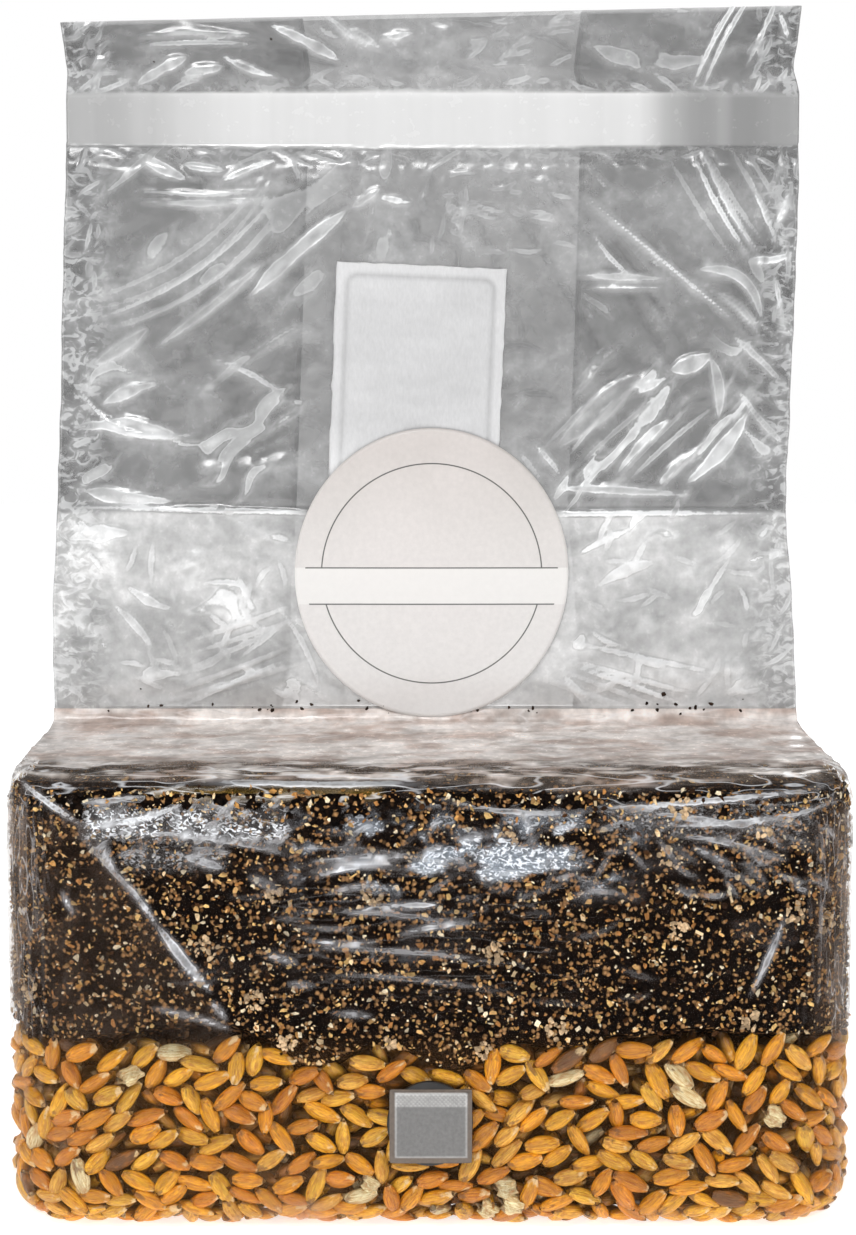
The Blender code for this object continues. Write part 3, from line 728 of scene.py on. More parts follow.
def wrinkle_masks(side, s, z, grain_zone):
    """Where the material draws thin wrinkles as lines of painted highlight and shade: level ones along the
    front edge and the roof, upright ones down the corners."""
    level = smooth(109.5, 112.5, z) * smooth(116, 104, side) * (0.62 - 0.4 * smooth(118.8, 120.5, z))
    level = np.maximum(level, 0.22 * box_mask(s, z, (-42, 40), (62, 102), 12))
    front_corner = smooth(94, 104, side) * (1 - smooth(118, 130, side))
    back_corner = smooth(205, 222, side) * (1 - smooth(232, 246, side))
    upright = np.maximum(front_corner * smooth(118, 113, z), back_corner * smooth(118, 113, z))
    return level, 0.38 * upright * (1 - 0.75 * grain_zone)


def coat_roof(coat, side, s, v, z):
    """The roof: milky, with a ragged front edge that dips right of the middle and a painted shadow line under
    that edge.
    """
    brim = 117.2 - 2.4 * np.exp(-((s - 38) / 24) ** 2) + 0.4 * noise(s / 9, 0.5, 0.5, 86)
    roof = smooth(brim - 0.6, brim + 0.6, z + 20 * smooth(112, 118, side))
    tone = fractal(s / 17, v / 6, 0.5, 66) + 0.35 * fractal(s / 4.5, v / 2.6, 0.5, 87)
    thin = smooth(-0.75, 0.4, fractal(s / 9, v / 2.6, 0.5, 60)) * (1 - smooth(119.2, 121.2, z))
    coat.add((0.64, 0.51, 0.45), roof, 0)
    coat.add((1.0, 0.93, 0.885), roof * smooth(-0.7, 0.55, tone), roof * (0.92 - 0.74 * thin - coat.veil))
    coat.add((0.34, 0.22, 0.13), roof * thin * 0.7, 0)
    # painted shadow: a near-black line just under the roof's front edge
    fold = smooth(110, 100, side) * np.exp(-((z - brim + 0.9) / 0.6) ** 2)
    coat.add((0.015, 0.01, 0.008), fold, 0)
    coat.veil = np.maximum(coat.veil, 0.8 * fold)


def brick_tint(s, v, z):
    """Colour and opacity of the film on the brick: nearly clear in front of the grain and
    the substrate, matte at the corners, with a painted silvery sheen where it is crumpled and painted glare
    in the middle, milky on the roof."""
    side = np.abs(s)
    coat = Coat(s.shape, (0.09, 0.06, 0.045), 0.02)
    grain_zone = 1 - smooth(46, 55, z)
    coat.add((0.55, 0.27, 0.1), grain_zone, 0.02 * grain_zone)
    haze = smooth(-0.1, 0.8, fractal(s / 32, z / 12, 0.5, 61)) * smooth(22, 6, z) * smooth(-70, -20, s)
    haze = haze * smooth(0.8, 3.5, z)
    coat.add((0.74, 0.47, 0.34), 0.85 * haze, 0.32 * haze)
    # the matte corners, on the left from the slanting fold on, with lit edges
    matte_from = np.where(s < 0, 88 - 0.69 * (108 - z), 97)
    corner = smooth(-2, 3, side - matte_from) * (1 - smooth(116, 132, side)) * smooth(112, 106, z)
    corner = np.maximum(corner, smooth(200, 222, side) * (1 - smooth(232, 250, side)))
    streak = 0.5 + 0.5 * noise(s / 2.2, z / 17, 0.5, 62)
    patchy = smooth(-0.6, 0.7, fractal(s / 5, z / 7, 0.5, 67))
    matte = 0.08 + 0.14 * patchy + 0.24 * streak * smooth(98, 107, side)
    coat.add((0.115, 0.068, 0.043), corner * (1 - grain_zone), corner * matte * (1 - 0.85 * grain_zone))
    edge = smooth(101, 110, side) * (1 - smooth(114, 122, side))
    coat.add((0.34, 0.21, 0.125), 0.9 * edge * streak ** 1.5, 0.2 * edge * streak * (1 - 0.4 * grain_zone))
    # painted silvery sheen on the crumple at the upper left, painted blue-grey glare in the middle and
    # painted bluish highlight strokes below it
    crumpled_sheen = crumple_mask(s, z)
    coat.add((0.3, 0.29, 0.29), 0.8 * crumpled_sheen, 0.16 * crumpled_sheen)
    glare = box_mask(s, z, (-34, 52), (90, 108), 6)
    broken = smooth(-0.15, 0.6, fractal(s / 9 + 0.6 * noise(s / 6, z / 4, 0.5, 68), z / 6.0, 0.5, 63))
    coat.add((0.56, 0.64, 0.74), glare * broken, 0.42 * glare * broken)
    crumpled_sheen = np.maximum(crumpled_sheen, 0.85 * glare * smooth(0.1, 0.7, broken))
    stroke = noise((s + 0.4 * z) / 20, z / 2.0, 0.5, 69) + 0.25 * noise(s / 5, z / 2, 0.5, 70)
    strokes = 0.5 * box_mask(s, z, (-40, 34), (60, 98), 10) * smooth(0.5, 0.95, stroke)
    coat.add((0.44, 0.52, 0.6), strokes, 0.35 * strokes)
    # grey patches high on the walls, and a warm strip under the roof's front edge
    patches = smooth(0.45, 1.0, fractal(s / 20, z / 8, 0.5, 64)) * smooth(62, 76, z) * (1 - corner)
    coat.add((0.16, 0.14, 0.14), 0.7 * patches, 0.1 * patches)
    warm = box_mask(s, z, (-72, -12), (112.4, 115.6), 1.4)
    coat.add((0.26, 0.155, 0.018), warm, 0.5 * warm * (0.7 + 0.3 * noise(s / 6, z / 3, 0.5, 65)))
    coat_roof(coat, side, s, v, z)
    return (coat.tint, coat.veil, crumpled_sheen) + wrinkle_masks(side, s, z, grain_zone)


def seal_band(x, z):
    """Where the film is welded together, and how light the weld is across the bag."""
    sag = 0.9 * np.exp(-(x / 70) ** 2) + 0.25 * noise(x / 9, 0.5, 0.5, 77)
    seal = smooth(-0.5, 0.3, z - BAND_Z[0] / MM + sag) * smooth(-0.5, 0.3, BAND_Z[1] / MM - z + sag)
    tone = 0.71 - 0.28 * smooth(48, 92, -x) - 0.34 * smooth(57, 68, x) + 0.05 * smooth(90, 99, x)
    ends = smooth(40, 80, np.abs(x))
    tone = tone + (0.02 + 0.06 * ends) * noise(x / 4.2, 0.5, 0.5, 75) + 0.02 * noise(x / 1.3, 0.5, 0.5, 76)
    return seal, np.clip(tone, 0.15, 0.9)


def sleeve_points(base, part, share, depth, height):
    """The upper bag pushed out by its swell and its folds, and held flat in the seal."""
    x, z = base[..., 0] / MM, base[..., 2] / MM
    gusset = part == 1
    swell = np.where(depth > 0, puff(x, z), 0.8 * puff(-x, z + 40))
    follow = np.where(gusset, 0.35 + 0.65 * np.exp(-share * 14), 1.0)
    follow = follow * np.where(gusset, smooth(0, 0.1, 1 - share), 1.0)
    out = (swell * np.where(gusset, 0.6, 1.0) + height) * follow
    in_band = smooth(0, 1.2, z - BAND_Z[0] / MM) * smooth(0, 1.2, BAND_Z[1] / MM - z)
    out = out * (1 - in_band)
    points = base.copy()
    points[..., 1] -= depth * out * MM
    edge = np.where(gusset, np.exp(-share * 14), smooth(0.93, 1.0, share))
    points[..., 0] += edge * 0.35 * MM * noise(z / 6.5, np.sign(x) * 3, 0.5, 71) * (1 - in_band)
    return points


def sleeve_tint(x, z, depth, glow, inner, seal, band_colour):
    """Colour and opacity of the upper bag: grey above the cross fold and milkier below it,
    darker in the flap, tan near the roof and nearly opaque in the seal. The grey is painted darkness standing
    in for dark surroundings seen through the clear film, and the soft glow is blended in as painted white
    highlights."""
    fold = CREASE_Z / MM
    below = 1 - smooth(fold - 1.2, fold + 0.6, z + 1.5 * noise(x / 30, 0.5, 0.5, 72))
    tone = fractal(x / 18, z / 14, depth + 0.5, 73)
    tint = blend_colour(np.full(x.shape + (3,), 0.185), (0.4, 0.402, 0.404), smooth(-0.7, 1.0, tone))
    mid_tone = 0.51 + 0.3 * smooth(-0.8, 0.9, tone) + 0.14 * smooth(42, 20, np.abs(x))
    tint = tint + (mid_tone[..., None] - tint) * below[..., None]
    off_middle = np.abs(x - 2)
    beside = smooth(20, 26, off_middle) * smooth(44, 30, off_middle)
    beside = beside * box_mask(x, z, (-60, 60), (196, 262), 5)
    flap = smooth(297, 300, z)
    tint = tint * (1 - 0.22 * beside[..., None]) * (1 - 0.24 * flap[..., None])
    veil = 0.58 + 0.06 * tone + 0.05 * below
    tan = smooth(140, 128, z) * smooth(-0.3, 0.8, noise(x / 16, z / 5, 0.5, 74))
    tint = blend_colour(tint, (0.46, 0.41, 0.38), 0.5 * tan)
    glow = np.clip(glow * (1 + 0.5 * below) * (1 - 0.35 * flap), 0, 1)
    tint = blend_colour(tint, (0.9, 0.91, 0.91), glow)
    veil = veil + 0.34 * glow - 0.3 * inner
    tint = tint + (band_colour[..., None] - tint) * seal[..., None]
    veil = veil + (0.93 - 0.25 * smooth(62, 92, x) - veil) * seal
    return np.concatenate((tint, np.clip(veil, 0.05, 0.97)[..., None]), axis=-1)


def sleeve_film(columns, border, total):
    """The upper bag, as one piece below the old cross fold and one above it."""
    lengths = np.linspace(border, total, int((total - border) / SLEEVE_ROW))
    base = film_surface(lengths, columns)
    part, share, _, depth = (c[None, :] for c in columns.T)
    x, z = base[..., 0] / MM, base[..., 2] / MM
    front, back = sleeve_creases(x, z), back_creases(x, z)
    height, crease, glow, field, level = (np.where(depth > 0, f, b) for f, b in zip(front, back))
    points = sleeve_points(base, part, share, depth, height)
    inner = np.where(part == 1, smooth(0.05, 0.3, share), 0.0)
    glow, crease, level = (value * (1 - 0.75 * inner) for value in (glow, crease, level))
    seal, band_colour = seal_band(x, z)
    rgba = sleeve_tint(x, z, depth, glow, inner, seal, band_colour)
    fold_line = np.where(part == 1, smooth(0.985, 1.0, share), 0.0)
    crease = np.clip(crease + 0.7 * fold_line, 0, 1) * (1 - 0.9 * seal)
    sides = smooth(84, 97, np.abs(x))
    gathers = smooth(275, 281, z) * smooth(304, 299, z)
    creased = np.maximum(0.4 * sides, 0.18 * gathers) * (1 - seal) * (1 - stuck_down(x, z))
    # the leaf carries the painted crisp highlights and, third, where the painted glints and shade of crumpled
    # film go
    leaf = np.stack([field, level * (1 - seal), creased * (1 - inner), np.zeros_like(x)], axis=-1)

    cut = int(np.searchsorted(lengths, border + CREASE_Z - BORDER_Z))
    pieces = []
    for name, rows in (("bag_lower", slice(0, cut + 1)), ("bag_upper", slice(cut, None))):
        faces = ring_faces(len(points[rows]), len(columns))
        piece = mesh_piece(name, points[rows].reshape(-1, 3), [faces], ("bag",))
        paint(piece, "tint", rgba[rows].reshape(-1, 4))
        paint(piece, "crease", crease[rows].ravel())
        paint(piece, "leaf", leaf[rows].reshape(-1, 4))
        paint(piece, "calm", seal[rows].ravel())
        pieces.append(piece)
    return pieces


def back_creases(x, z):
    """The back of the upper bag: the same kind of slack folds, in other places."""
    s = Sheet(x, z)
    s.wisps(-40, 24, 6.0, 0.5, 0.45, box_mask(x, z, (-104, 104), (188, 284)), 151)
    s.wisps(30, 13, 5.0, 0.5, 0.55, box_mask(x, z, (-104, 104), (132, 230), 20), 154)
    s.wisps(-12, 16, 3.8, 0.4, 0.6, box_mask(x, z, (-104, 104), (299, 325), 3), 157)
    s.fan([(-20, 276), (30, 278)], [(-90, 210), (90, 214)], 9, 0.06, 1.2, 0.8, 4.0, 83)
    s.scatter((-98, 130), (98, 280), 60, -20, 45, 24, 1.2, 0.6, 81)
    s.fold((-103, CREASE_Z / MM), (100, CREASE_Z / MM), 0.0, 1.2, 1.0)
    fine = 0.08 * fractal(x / 5.5, z / 5.0, 0.5, 85)
    inside = smooth(0, 1.5, BAND_Z[0] / MM - z) + smooth(0, 1.5, z - BAND_Z[1] / MM)
    keep = np.clip(inside, 0, 1) * smooth(0, 5, z - BORDER_Z / MM)
    return sheet_layers(s, s.height + fine, keep)


def front_y(x, z):
    """Front of the upper bag under the label and patch, in mm."""
    return -SLEEVE_Y / MM - puff(x, z)


# ---------------------------------------------------------------- filter patch, label, cover
def sheet_piece(name, node, x, z, y, thickness):
    """A thin sheet with an edge: front points from x, y, z arrays in mm, back just behind."""
    rows, count = x.shape
    front = np.stack([x, y, z], axis=-1).reshape(-1, 3) * MM
    index = np.arange(rows * count).reshape(rows, count)
    rim = np.concatenate((index[0, :-1], index[:-1, -1], index[-1, :0:-1], index[:0:-1, 0]))
    behind = front[rim] + (0, thickness, 0)
    points = np.concatenate((front, behind))
    first = len(front)
    j, k = loop_pairs(len(rim))
    edge = np.stack([rim[j], first + j, first + k, rim[k]], axis=-1)
    quads = ring_faces(rows, count, closed=False)[:, ::-1]
    return mesh_piece(name, points, [quads, edge], (node,)), len(rim)


def filter_patch():
    """The breathable patch, leaning a little, with a pressed line inside its edge."""
    half_x, half_z, lean = 23.2, 31.0, math.radians(-2.4)
    u, w = np.meshgrid(np.linspace(-1, 1, 71), np.linspace(-1, 1, 97))
    ragged = 0.25 * noise(u * 9, w * 12, 0.5, 91)
    lx, lz = u * half_x + ragged * np.abs(u) ** 9, w * half_z + ragged * np.abs(w) ** 9
    x = PATCH_AT.x / MM + lx * math.cos(lean) + lz * math.sin(-lean)
    z = PATCH_AT.z / MM + lz * math.cos(lean) - lx * math.sin(-lean)
    radius = 3.0
    qx = np.maximum(np.abs(lx) - (half_x - 3.2 - radius), 0)
    qz = np.maximum(np.abs(lz) - (half_z - 3.2 - radius), 0)
    weld = np.hypot(qx, qz) - radius
    inner = np.maximum(np.abs(lx) - (half_x - 8.0), np.abs(lz) - (half_z - 10.0))
    relief = -0.16 * np.exp(-(weld / 0.55) ** 2) + 0.1 * smooth(0.6, -1.0, weld)
    relief = relief - 0.05 * np.exp(-(inner / 0.5) ** 2)
    ripple = 0.16 * noise(lx / 13, lz / 2.6, 0.5, 92) + 0.06 * noise(lx / 5, lz / 1.4, 0.5, 93)
    relief = relief + ripple * smooth(0.5, -3, weld) + 0.05 * crumple(lx, lz, 3.0, 94)
    y = front_y(x, z) - 0.55 - relief
    piece, rim = sheet_piece("filter_patch_sheet", "filter_patch", x, z, y, 0.0004)
    # lighter towards the bottom and outside the pressed line, darker along it; the share that follows the
    # relief, lighter where the sheet stands out, is painted shade
    tone = 0.615 + 0.11 * smooth(-10, -30, lz) - 0.1 * np.exp(-(weld / 0.7) ** 2) + 0.1 * relief
    tone = tone + 0.05 * smooth(0.2, 1.6, weld)
    paint(piece, "tone", np.concatenate((tone.ravel(), np.full(rim, 0.6))))
    return piece


def round_label():
    """The label disc, following the film and the patch under it, one edge lifting."""
    rings, spokes = 30, 144
    r = np.linspace(0.0, 1.0, rings + 1)[1:] ** 0.8
    a = np.linspace(0, 2 * math.pi, spokes, endpoint=False)
    radius_x = (LABEL_HIGH.x - LABEL_LOW.x) / 2 / MM
    radius_z = (LABEL_HIGH.z - LABEL_LOW.z) / 2 / MM
    x = LABEL_AT.x / MM + radius_x * r[:, None] * np.cos(a)[None, :]
    z = LABEL_AT.z / MM + radius_z * r[:, None] * np.sin(a)[None, :]
    wave = 0.1 * noise(x / 17, z / 13, 0.5, 95) + 0.03 * crumple(x, z, 6, 96)
    curl = smooth(0.4, 1.0, noise(np.cos(a) * 2, np.sin(a) * 2, 0.5, 97))
    lifted = 0.35 * smooth(0.9, 1.0, r)[:, None] * curl
    over_patch = 0.45 * smooth(190, 196, z) * (1 - smooth(24, 27, np.abs(x - PATCH_AT.x / MM)))
    y = front_y(x, z) - 0.85 - over_patch - wave - lifted
    centre = np.array([[LABEL_AT.x / MM, y[0].mean(), LABEL_AT.z / MM]])
    front = np.concatenate((np.stack([x, y, z], axis=-1).reshape(-1, 3), centre)) * MM
    last = (rings - 1) * spokes + np.arange(spokes)
    behind = front[last] + (0, 0.3 * MM, 0)
    points = np.concatenate((front, behind))
    j, k = loop_pairs(spokes)
    tip = np.stack([np.full(spokes, rings * spokes), j, k], axis=-1)
    edge = np.stack([last[j], rings * spokes + 1 + j, rings * spokes + 1 + k, last[k]], axis=-1)
    quads = ring_faces(rings, spokes)[:, ::-1]
    return mesh_piece("label_disc", points, [quads, tip, edge], ("label",))


def port_cover():
    """The grey square over the port: a raised panel with a dotted strip across its top."""
    half_x = (COVER_HIGH.x - COVER_LOW.x) / 2 / MM
    half_z = (COVER_HIGH.z - COVER_LOW.z) / 2 / MM
    at = (COVER_LOW + COVER_HIGH) / 2
    u, w = np.meshgrid(np.linspace(-1, 1, 85), np.linspace(-1, 1, 77))
    corner = 1 - 0.012 * (np.abs(u) * np.abs(w)) ** 10
    lx, lz = u * half_x * corner, w * half_z * corner
    x, z = at.x / MM + lx, at.z / MM + lz
    border = np.minimum.reduce([lx + half_x - 1.5, half_x - 1.3 - lx,
                                lz + half_z - 1.6, half_z - 1.0 - lz])
    panel = smooth(-0.25, 0.25, border)
    strip = smooth(-0.2, 0.2, lz - (half_z - 4.4)) * panel
    dots = np.sin(lx * 2 * math.pi / 1.05) * np.sin(lz * 2 * math.pi / 1.05)
    weave = np.sin(lx * 2 * math.pi / 0.78) * np.sin(lz * 2 * math.pi / 0.78)
    edge = np.exp(-((border - 0.1) / 0.28) ** 2)
    relief = 0.28 * panel + 0.14 * edge + 0.1 * strip * dots + 0.03 * (panel - strip) * weave
    relief = relief + 0.1 * noise(lx / 6, lz / 5, 0.5, 98)
    y = PORT_LOW.y / MM - 0.35 - relief + 0.25 * (np.abs(u) ** 6 + np.abs(w) ** 6)
    piece, rim = sheet_piece("port_cover_foil", "port_cover", x, z, y, 0.0005)
    # lighter on the panel and the strip; the extra light on the panel's raised rim and on the raised dots is
    # a painted highlight
    grey = 0.075 + 0.11 * panel + 0.24 * edge + 0.17 * strip + 0.14 * strip * smooth(0.1, 0.6, dots)
    colour = grey[..., None] * np.array([1.0, 0.985, 0.97])
    colour = blend_colour(colour, (0.16, 0.125, 0.1), (1 - panel) * (1 - edge) * 0.9)
    rgba = np.concatenate((colour, np.full(colour.shape[:2] + (1,), 1.0)), axis=-1).reshape(-1, 4)
    paint(piece, "tint", np.concatenate((rgba, np.tile([0.12, 0.1, 0.09, 1.0], (rim, 1)))))
    return piece


# ---------------------------------------------------------------- grain and substrate
CLEAR = 0.35                                                   # mm between film and filling
WALL_A, WALL_B, WALL_R = HALF_W / MM - CLEAR, HALF_D / MM - CLEAR, CORNER_R / MM
STRAIGHT_X, STRAIGHT_Y = WALL_A - WALL_R, WALL_B - WALL_R
CORNER_RUN = WALL_R * math.pi / 2
PERIMETER = 4 * (STRAIGHT_X + STRAIGHT_Y + CORNER_RUN)
BASE_RUN = BASE_R / MM * math.pi / 2
RISE = BASE_RUN - BASE_R / MM          # film length up to a height on the wall, less that height
SHOULDER = (111, 115.5)                # heights where the wall rounds over into the roof
SOIL_LOW, SOIL_TOP = 36.0, 115.4       # heights between which the substrate meets the film


def wall_frame(s):
    """Point on the wall outline, tangent angle and radius of curvature at distance s (mm)."""
    t = np.mod(s, PERIMETER)
    marks = np.cumsum([STRAIGHT_X, CORNER_RUN, 2 * STRAIGHT_Y, CORNER_RUN, 2 * STRAIGHT_X,
                       CORNER_RUN, 2 * STRAIGHT_Y, CORNER_RUN, STRAIGHT_X])
    starts = np.concatenate(([0.0], marks[:-1]))
    leg = np.minimum(np.searchsorted(marks, t, side="right"), 8)
    on = t - starts[leg]
    x, y, angle = np.zeros_like(t), np.zeros_like(t), np.zeros_like(t)
    legs = ((0, -WALL_B, 0), (STRAIGHT_X, -STRAIGHT_Y, 0), (WALL_A, -STRAIGHT_Y, 1),
            (STRAIGHT_X, STRAIGHT_Y, 1), (STRAIGHT_X, WALL_B, 2), (-STRAIGHT_X, STRAIGHT_Y, 2),
            (-WALL_A, STRAIGHT_Y, 3), (-STRAIGHT_X, -STRAIGHT_Y, 3), (-STRAIGHT_X, -WALL_B, 4))
    for k, (cx, cy, quarter) in enumerate(legs):
        here = leg == k
        heading = quarter * math.pi / 2
        if k % 2:
            turned = heading + on[here] / WALL_R
            x[here] = cx + WALL_R * np.sin(turned)
            y[here] = cy - WALL_R * np.cos(turned)
            angle[here] = turned
        else:
            x[here] = cx + on[here] * math.cos(heading)
            y[here] = cy + on[here] * math.sin(heading)
            angle[here] = heading
    return x, y, angle


def wall_place(s, v, depth):
    """Wall coordinates to space: s around, v up the film from the rim of the base, depth in.
    Returns points in mm and the three directions around, up and inwards."""
    x, y, angle = wall_frame(s)
    lean = np.clip(v / (BASE_R / MM), 0, math.pi / 2)
    inset = BASE_R / MM * (1 - np.sin(lean)) + np.maximum(-v, 0)
    z = BASE_R / MM * (1 - np.cos(lean)) + np.maximum(v - BASE_RUN, 0)
    tangent = np.stack([np.cos(angle), np.sin(angle), np.zeros_like(x)], axis=-1)
    flat = np.stack([np.sin(angle), -np.cos(angle), np.zeros_like(x)], axis=-1)
    rise = np.stack([np.zeros_like(x), np.zeros_like(x), np.ones_like(x)], axis=-1)
    outward = flat * np.sin(lean)[..., None] - rise * np.cos(lean)[..., None]
    up = flat * np.cos(lean)[..., None] + rise * np.sin(lean)[..., None]
    point = np.stack([x, y, z + CLEAR * np.cos(lean)], axis=-1) - flat * inset[..., None]
    point = point - outward * np.asarray(depth)[..., None]
    return point, tangent, up, -outward


def grain_top(s):
    """Height of the grain at the wall, in mm, with the dips the front shows."""
    x, y, _ = wall_frame(s)
    near = np.clip(-y / WALL_B, 0, 1)
    level = GRAIN_TOP / MM + 1.4 * np.sin(x * 0.095 + 1) + 1.0 * np.sin(y * 0.14 - x * 0.07)
    level = level + 1.2 * noise(s / 9, 0.5, 0.5, 101)
    for centre, fall, half in GRAIN_DIPS:
        level = level - near * fall * np.exp(-((x - centre) / half) ** 2)
    return level


def grid_places(step_s, step_v, v_range, depths, seed):
    """Jittered wall coordinates in layers; step sizes in mm."""
    rng = np.random.default_rng(seed)
    out = []
    for layer, depth in enumerate(depths):
        rows = int((v_range[1] - v_range[0]) / step_v)
        count = int(PERIMETER / step_s)
        i, j = np.meshgrid(np.arange(count), np.arange(rows))
        s = (i + 0.5 * (j % 2) + rng.uniform(-0.35, 0.35, i.shape) + 0.3 * layer) * PERIMETER / count
        v = v_range[0] + (j + rng.uniform(0.15, 0.85, i.shape)) * step_v
        d = depth + rng.uniform(-0.4, 0.4, i.shape)
        out.append(np.stack([s.ravel(), v.ravel(), d.ravel()], axis=-1))
    return np.concatenate(out)


def settle(places, aim, half, middle_r, end_r, top, rounds):
    """Pushes rod-like kernels apart; each is three balls in wall coordinates."""
    count = len(places)
    offsets = np.array([-1.0, 0.0, 1.0])
    radii = np.array([end_r, middle_r, end_r])
    reach, renew = 9.6, 6              # how near a neighbour counts, rounds between searches
    give, wall_push, top_push, settling = 0.28, 0.5, 0.4, 0.02
    for turn in range(rounds):
        if turn % renew == 0:
            first, second = near_pairs(places, reach)
        gap_s = places[second, 0] - places[first, 0]
        wrap = PERIMETER * np.round(gap_s / PERIMETER)
        push = np.zeros((count, 3))
        twist = np.zeros((count, 3))
        for a in range(3):
            ball_a = places[first] + aim[first] * (offsets[a] * half[first])[:, None]
            for b in range(3):
                ball_b = places[second] + aim[second] * (offsets[b] * half[second])[:, None]
                gap = ball_b - ball_a
                gap[:, 0] -= wrap
                distance = np.linalg.norm(gap, axis=1) + 1e-9
                lap = radii[a] + radii[b] - distance
                hit = lap > 0
                move = gap[hit] / distance[hit][:, None] * (give * lap[hit])[:, None]
                np.add.at(push, first[hit], -move)
                np.add.at(push, second[hit], move)
                np.add.at(twist, first[hit], -move * offsets[a])
                np.add.at(twist, second[hit], move * offsets[b])
        # the film pushes in, the top and the bottom limit the pile
        for a in range(3):
            ball = places + aim * (offsets[a] * half)[:, None]
            inside = np.maximum(radii[a] - ball[:, 2], 0)
            push[:, 2] += wall_push * inside
            twist[:, 2] += wall_push * inside * offsets[a]
            over = np.maximum(ball[:, 1] + radii[a] * 0.6 - top, 0)
            push[:, 1] -= top_push * over
            twist[:, 1] -= top_push * over * offsets[a]
        push[:, 2] -= settling
        places = places + np.clip(push, -1.2, 1.2)
        aim = aim + twist / half[:, None] * 0.5
        aim = aim / np.linalg.norm(aim, axis=1, keepdims=True)
    for a in range(3):
        ball = places + aim * (offsets[a] * half)[:, None]
        places[:, 2] += np.maximum(radii[a] * 0.92 - ball[:, 2], 0)
    return places, aim


def near_pairs(places, reach):
    """Index pairs of places closer than reach, with s wrapping round."""
    columns = int(PERIMETER // reach)
    width = PERIMETER / columns
    key_s = np.floor(np.mod(places[:, 0], PERIMETER) / width).astype(int) % columns
    key_v = np.floor(places[:, 1] / reach).astype(int) + 10
    rows = key_v.max() + 2
    key = key_s * rows + key_v
    order = np.argsort(key, kind="stable")
    ordered = key[order]
    firsts, seconds = [], []
    for ds, dv in ((0, 0), (1, 0), (1, 1), (1, -1), (0, 1)):
        other = ((key_s + ds) % columns) * rows + key_v + dv
        low = np.searchsorted(ordered, other, side="left")
        high = np.searchsorted(ordered, other, side="right")
        span = high - low
        a = np.repeat(np.arange(len(places)), span)
        step = np.arange(span.sum()) - np.repeat(np.cumsum(span) - span, span)
        b = order[np.repeat(low, span) + step]
        keep = a < b if (ds, dv) == (0, 0) else np.ones(len(a), bool)
        firsts.append(a[keep])
        seconds.append(b[keep])
    first, second = np.concatenate(firsts), np.concatenate(seconds)
    gap = places[second] - places[first]
    gap[:, 0] -= PERIMETER * np.round(gap[:, 0] / PERIMETER)
    close = np.linalg.norm(gap, axis=1) < reach * 1.2
    return first[close], second[close]


def kernel_shape(sides, rings, broken=False):
    """A plump pointed hull of unit half length along X, groove on top, and its shade."""
    t = np.linspace(-1, 1, rings + 2)[1:-1]
    t = np.sign(t) * np.abs(t) ** 0.85
    a = np.arange(sides) * 2 * math.pi / sides
    if broken:
        radius = (1 - np.abs(t) ** 3) ** 0.6
    else:
        radius = np.clip(1 - np.abs(t) ** 2.0, 0, 1) ** 0.82 * (1 - 0.14 * t)
    groove = 1 - 0.2 * np.exp(-((np.mod(a - math.pi / 2 + math.pi, 2 * math.pi) - math.pi) / 0.42) ** 2)
    ring_x = np.repeat(t[:, None], sides, axis=1)
    ring_y = radius[:, None] * (groove * np.cos(a))[None, :]
    ring_z = radius[:, None] * (0.86 * groove * np.sin(a))[None, :] - 0.12 * (t ** 2)[:, None]
    body = np.stack([ring_x, ring_y, ring_z], axis=-1).reshape(-1, 3)
    tips = np.array([[-1.0, 0, -0.12], [1.0, 0, -0.12]])
    points = np.concatenate((body, tips))
    if broken:
        px, py, pz = points.T
        points = points * (1 + 0.42 * noise(1.9 * px, 1.9 * py, 1.9 * pz, 131))[:, None]
    j, k = loop_pairs(sides)
    quads = ring_faces(rings, sides)[:, ::-1]
    start = np.stack([np.full(sides, len(body)), j, k], axis=-1)[:, ::-1]
    last = (rings - 1) * sides
    end = np.stack([np.full(sides, len(body) + 1), last + j, last + k], axis=-1)
    # darker towards both tips, and painted shade in the groove
    shade = 1 - 0.2 * np.abs(ring_x) ** 3 - 0.3 * (1 - groove)[None, :] / 0.2
    return points, quads, np.concatenate((start, end)), np.concatenate((shade.ravel(), [0.6, 0.7]))


def place_copies(shape, centres, axes, sizes):
    """Copies of a template: axes is (n, 3, 3) rows of directions, sizes (n, 3); mm out."""
    points, quads, tris = shape[:3]
    scaled = points[None, :, :] * sizes[:, None, :]
    world = np.einsum("nvk,nkc->nvc", scaled, axes) + centres[:, None, :]
    shift = (np.arange(len(centres)) * len(points))[:, None, None]
    all_quads = (quads[None] + shift).reshape(-1, 4) if len(quads) else np.zeros((0, 4), int)
    all_tris = (tris[None] + shift).reshape(-1, 3)
    return world.reshape(-1, 3) * MM, all_quads, all_tris


def frames_from(direction, hint, spin):
    """Three axes: the direction first, the others turned about it by spin."""
    direction = direction / np.linalg.norm(direction, axis=1, keepdims=True)
    second = np.cross(hint, direction)
    second = second / np.maximum(np.linalg.norm(second, axis=1, keepdims=True), 1e-9)
    third = np.cross(direction, second)
    c, s = np.cos(spin)[:, None], np.sin(spin)[:, None]
    return np.stack([direction, second * c + third * s, third * c - second * s], axis=1)


GRAIN_TONES = np.array([
    (0.97, 0.41, 0.012), (0.94, 0.36, 0.008), (0.98, 0.45, 0.022), (0.88, 0.31, 0.006),
    (0.98, 0.49, 0.04), (0.78, 0.25, 0.005), (0.96, 0.46, 0.06)])
PALE_GRAIN = np.array((0.92, 0.72, 0.44))
DARK_GRAIN = np.array((0.22, 0.08, 0.014))


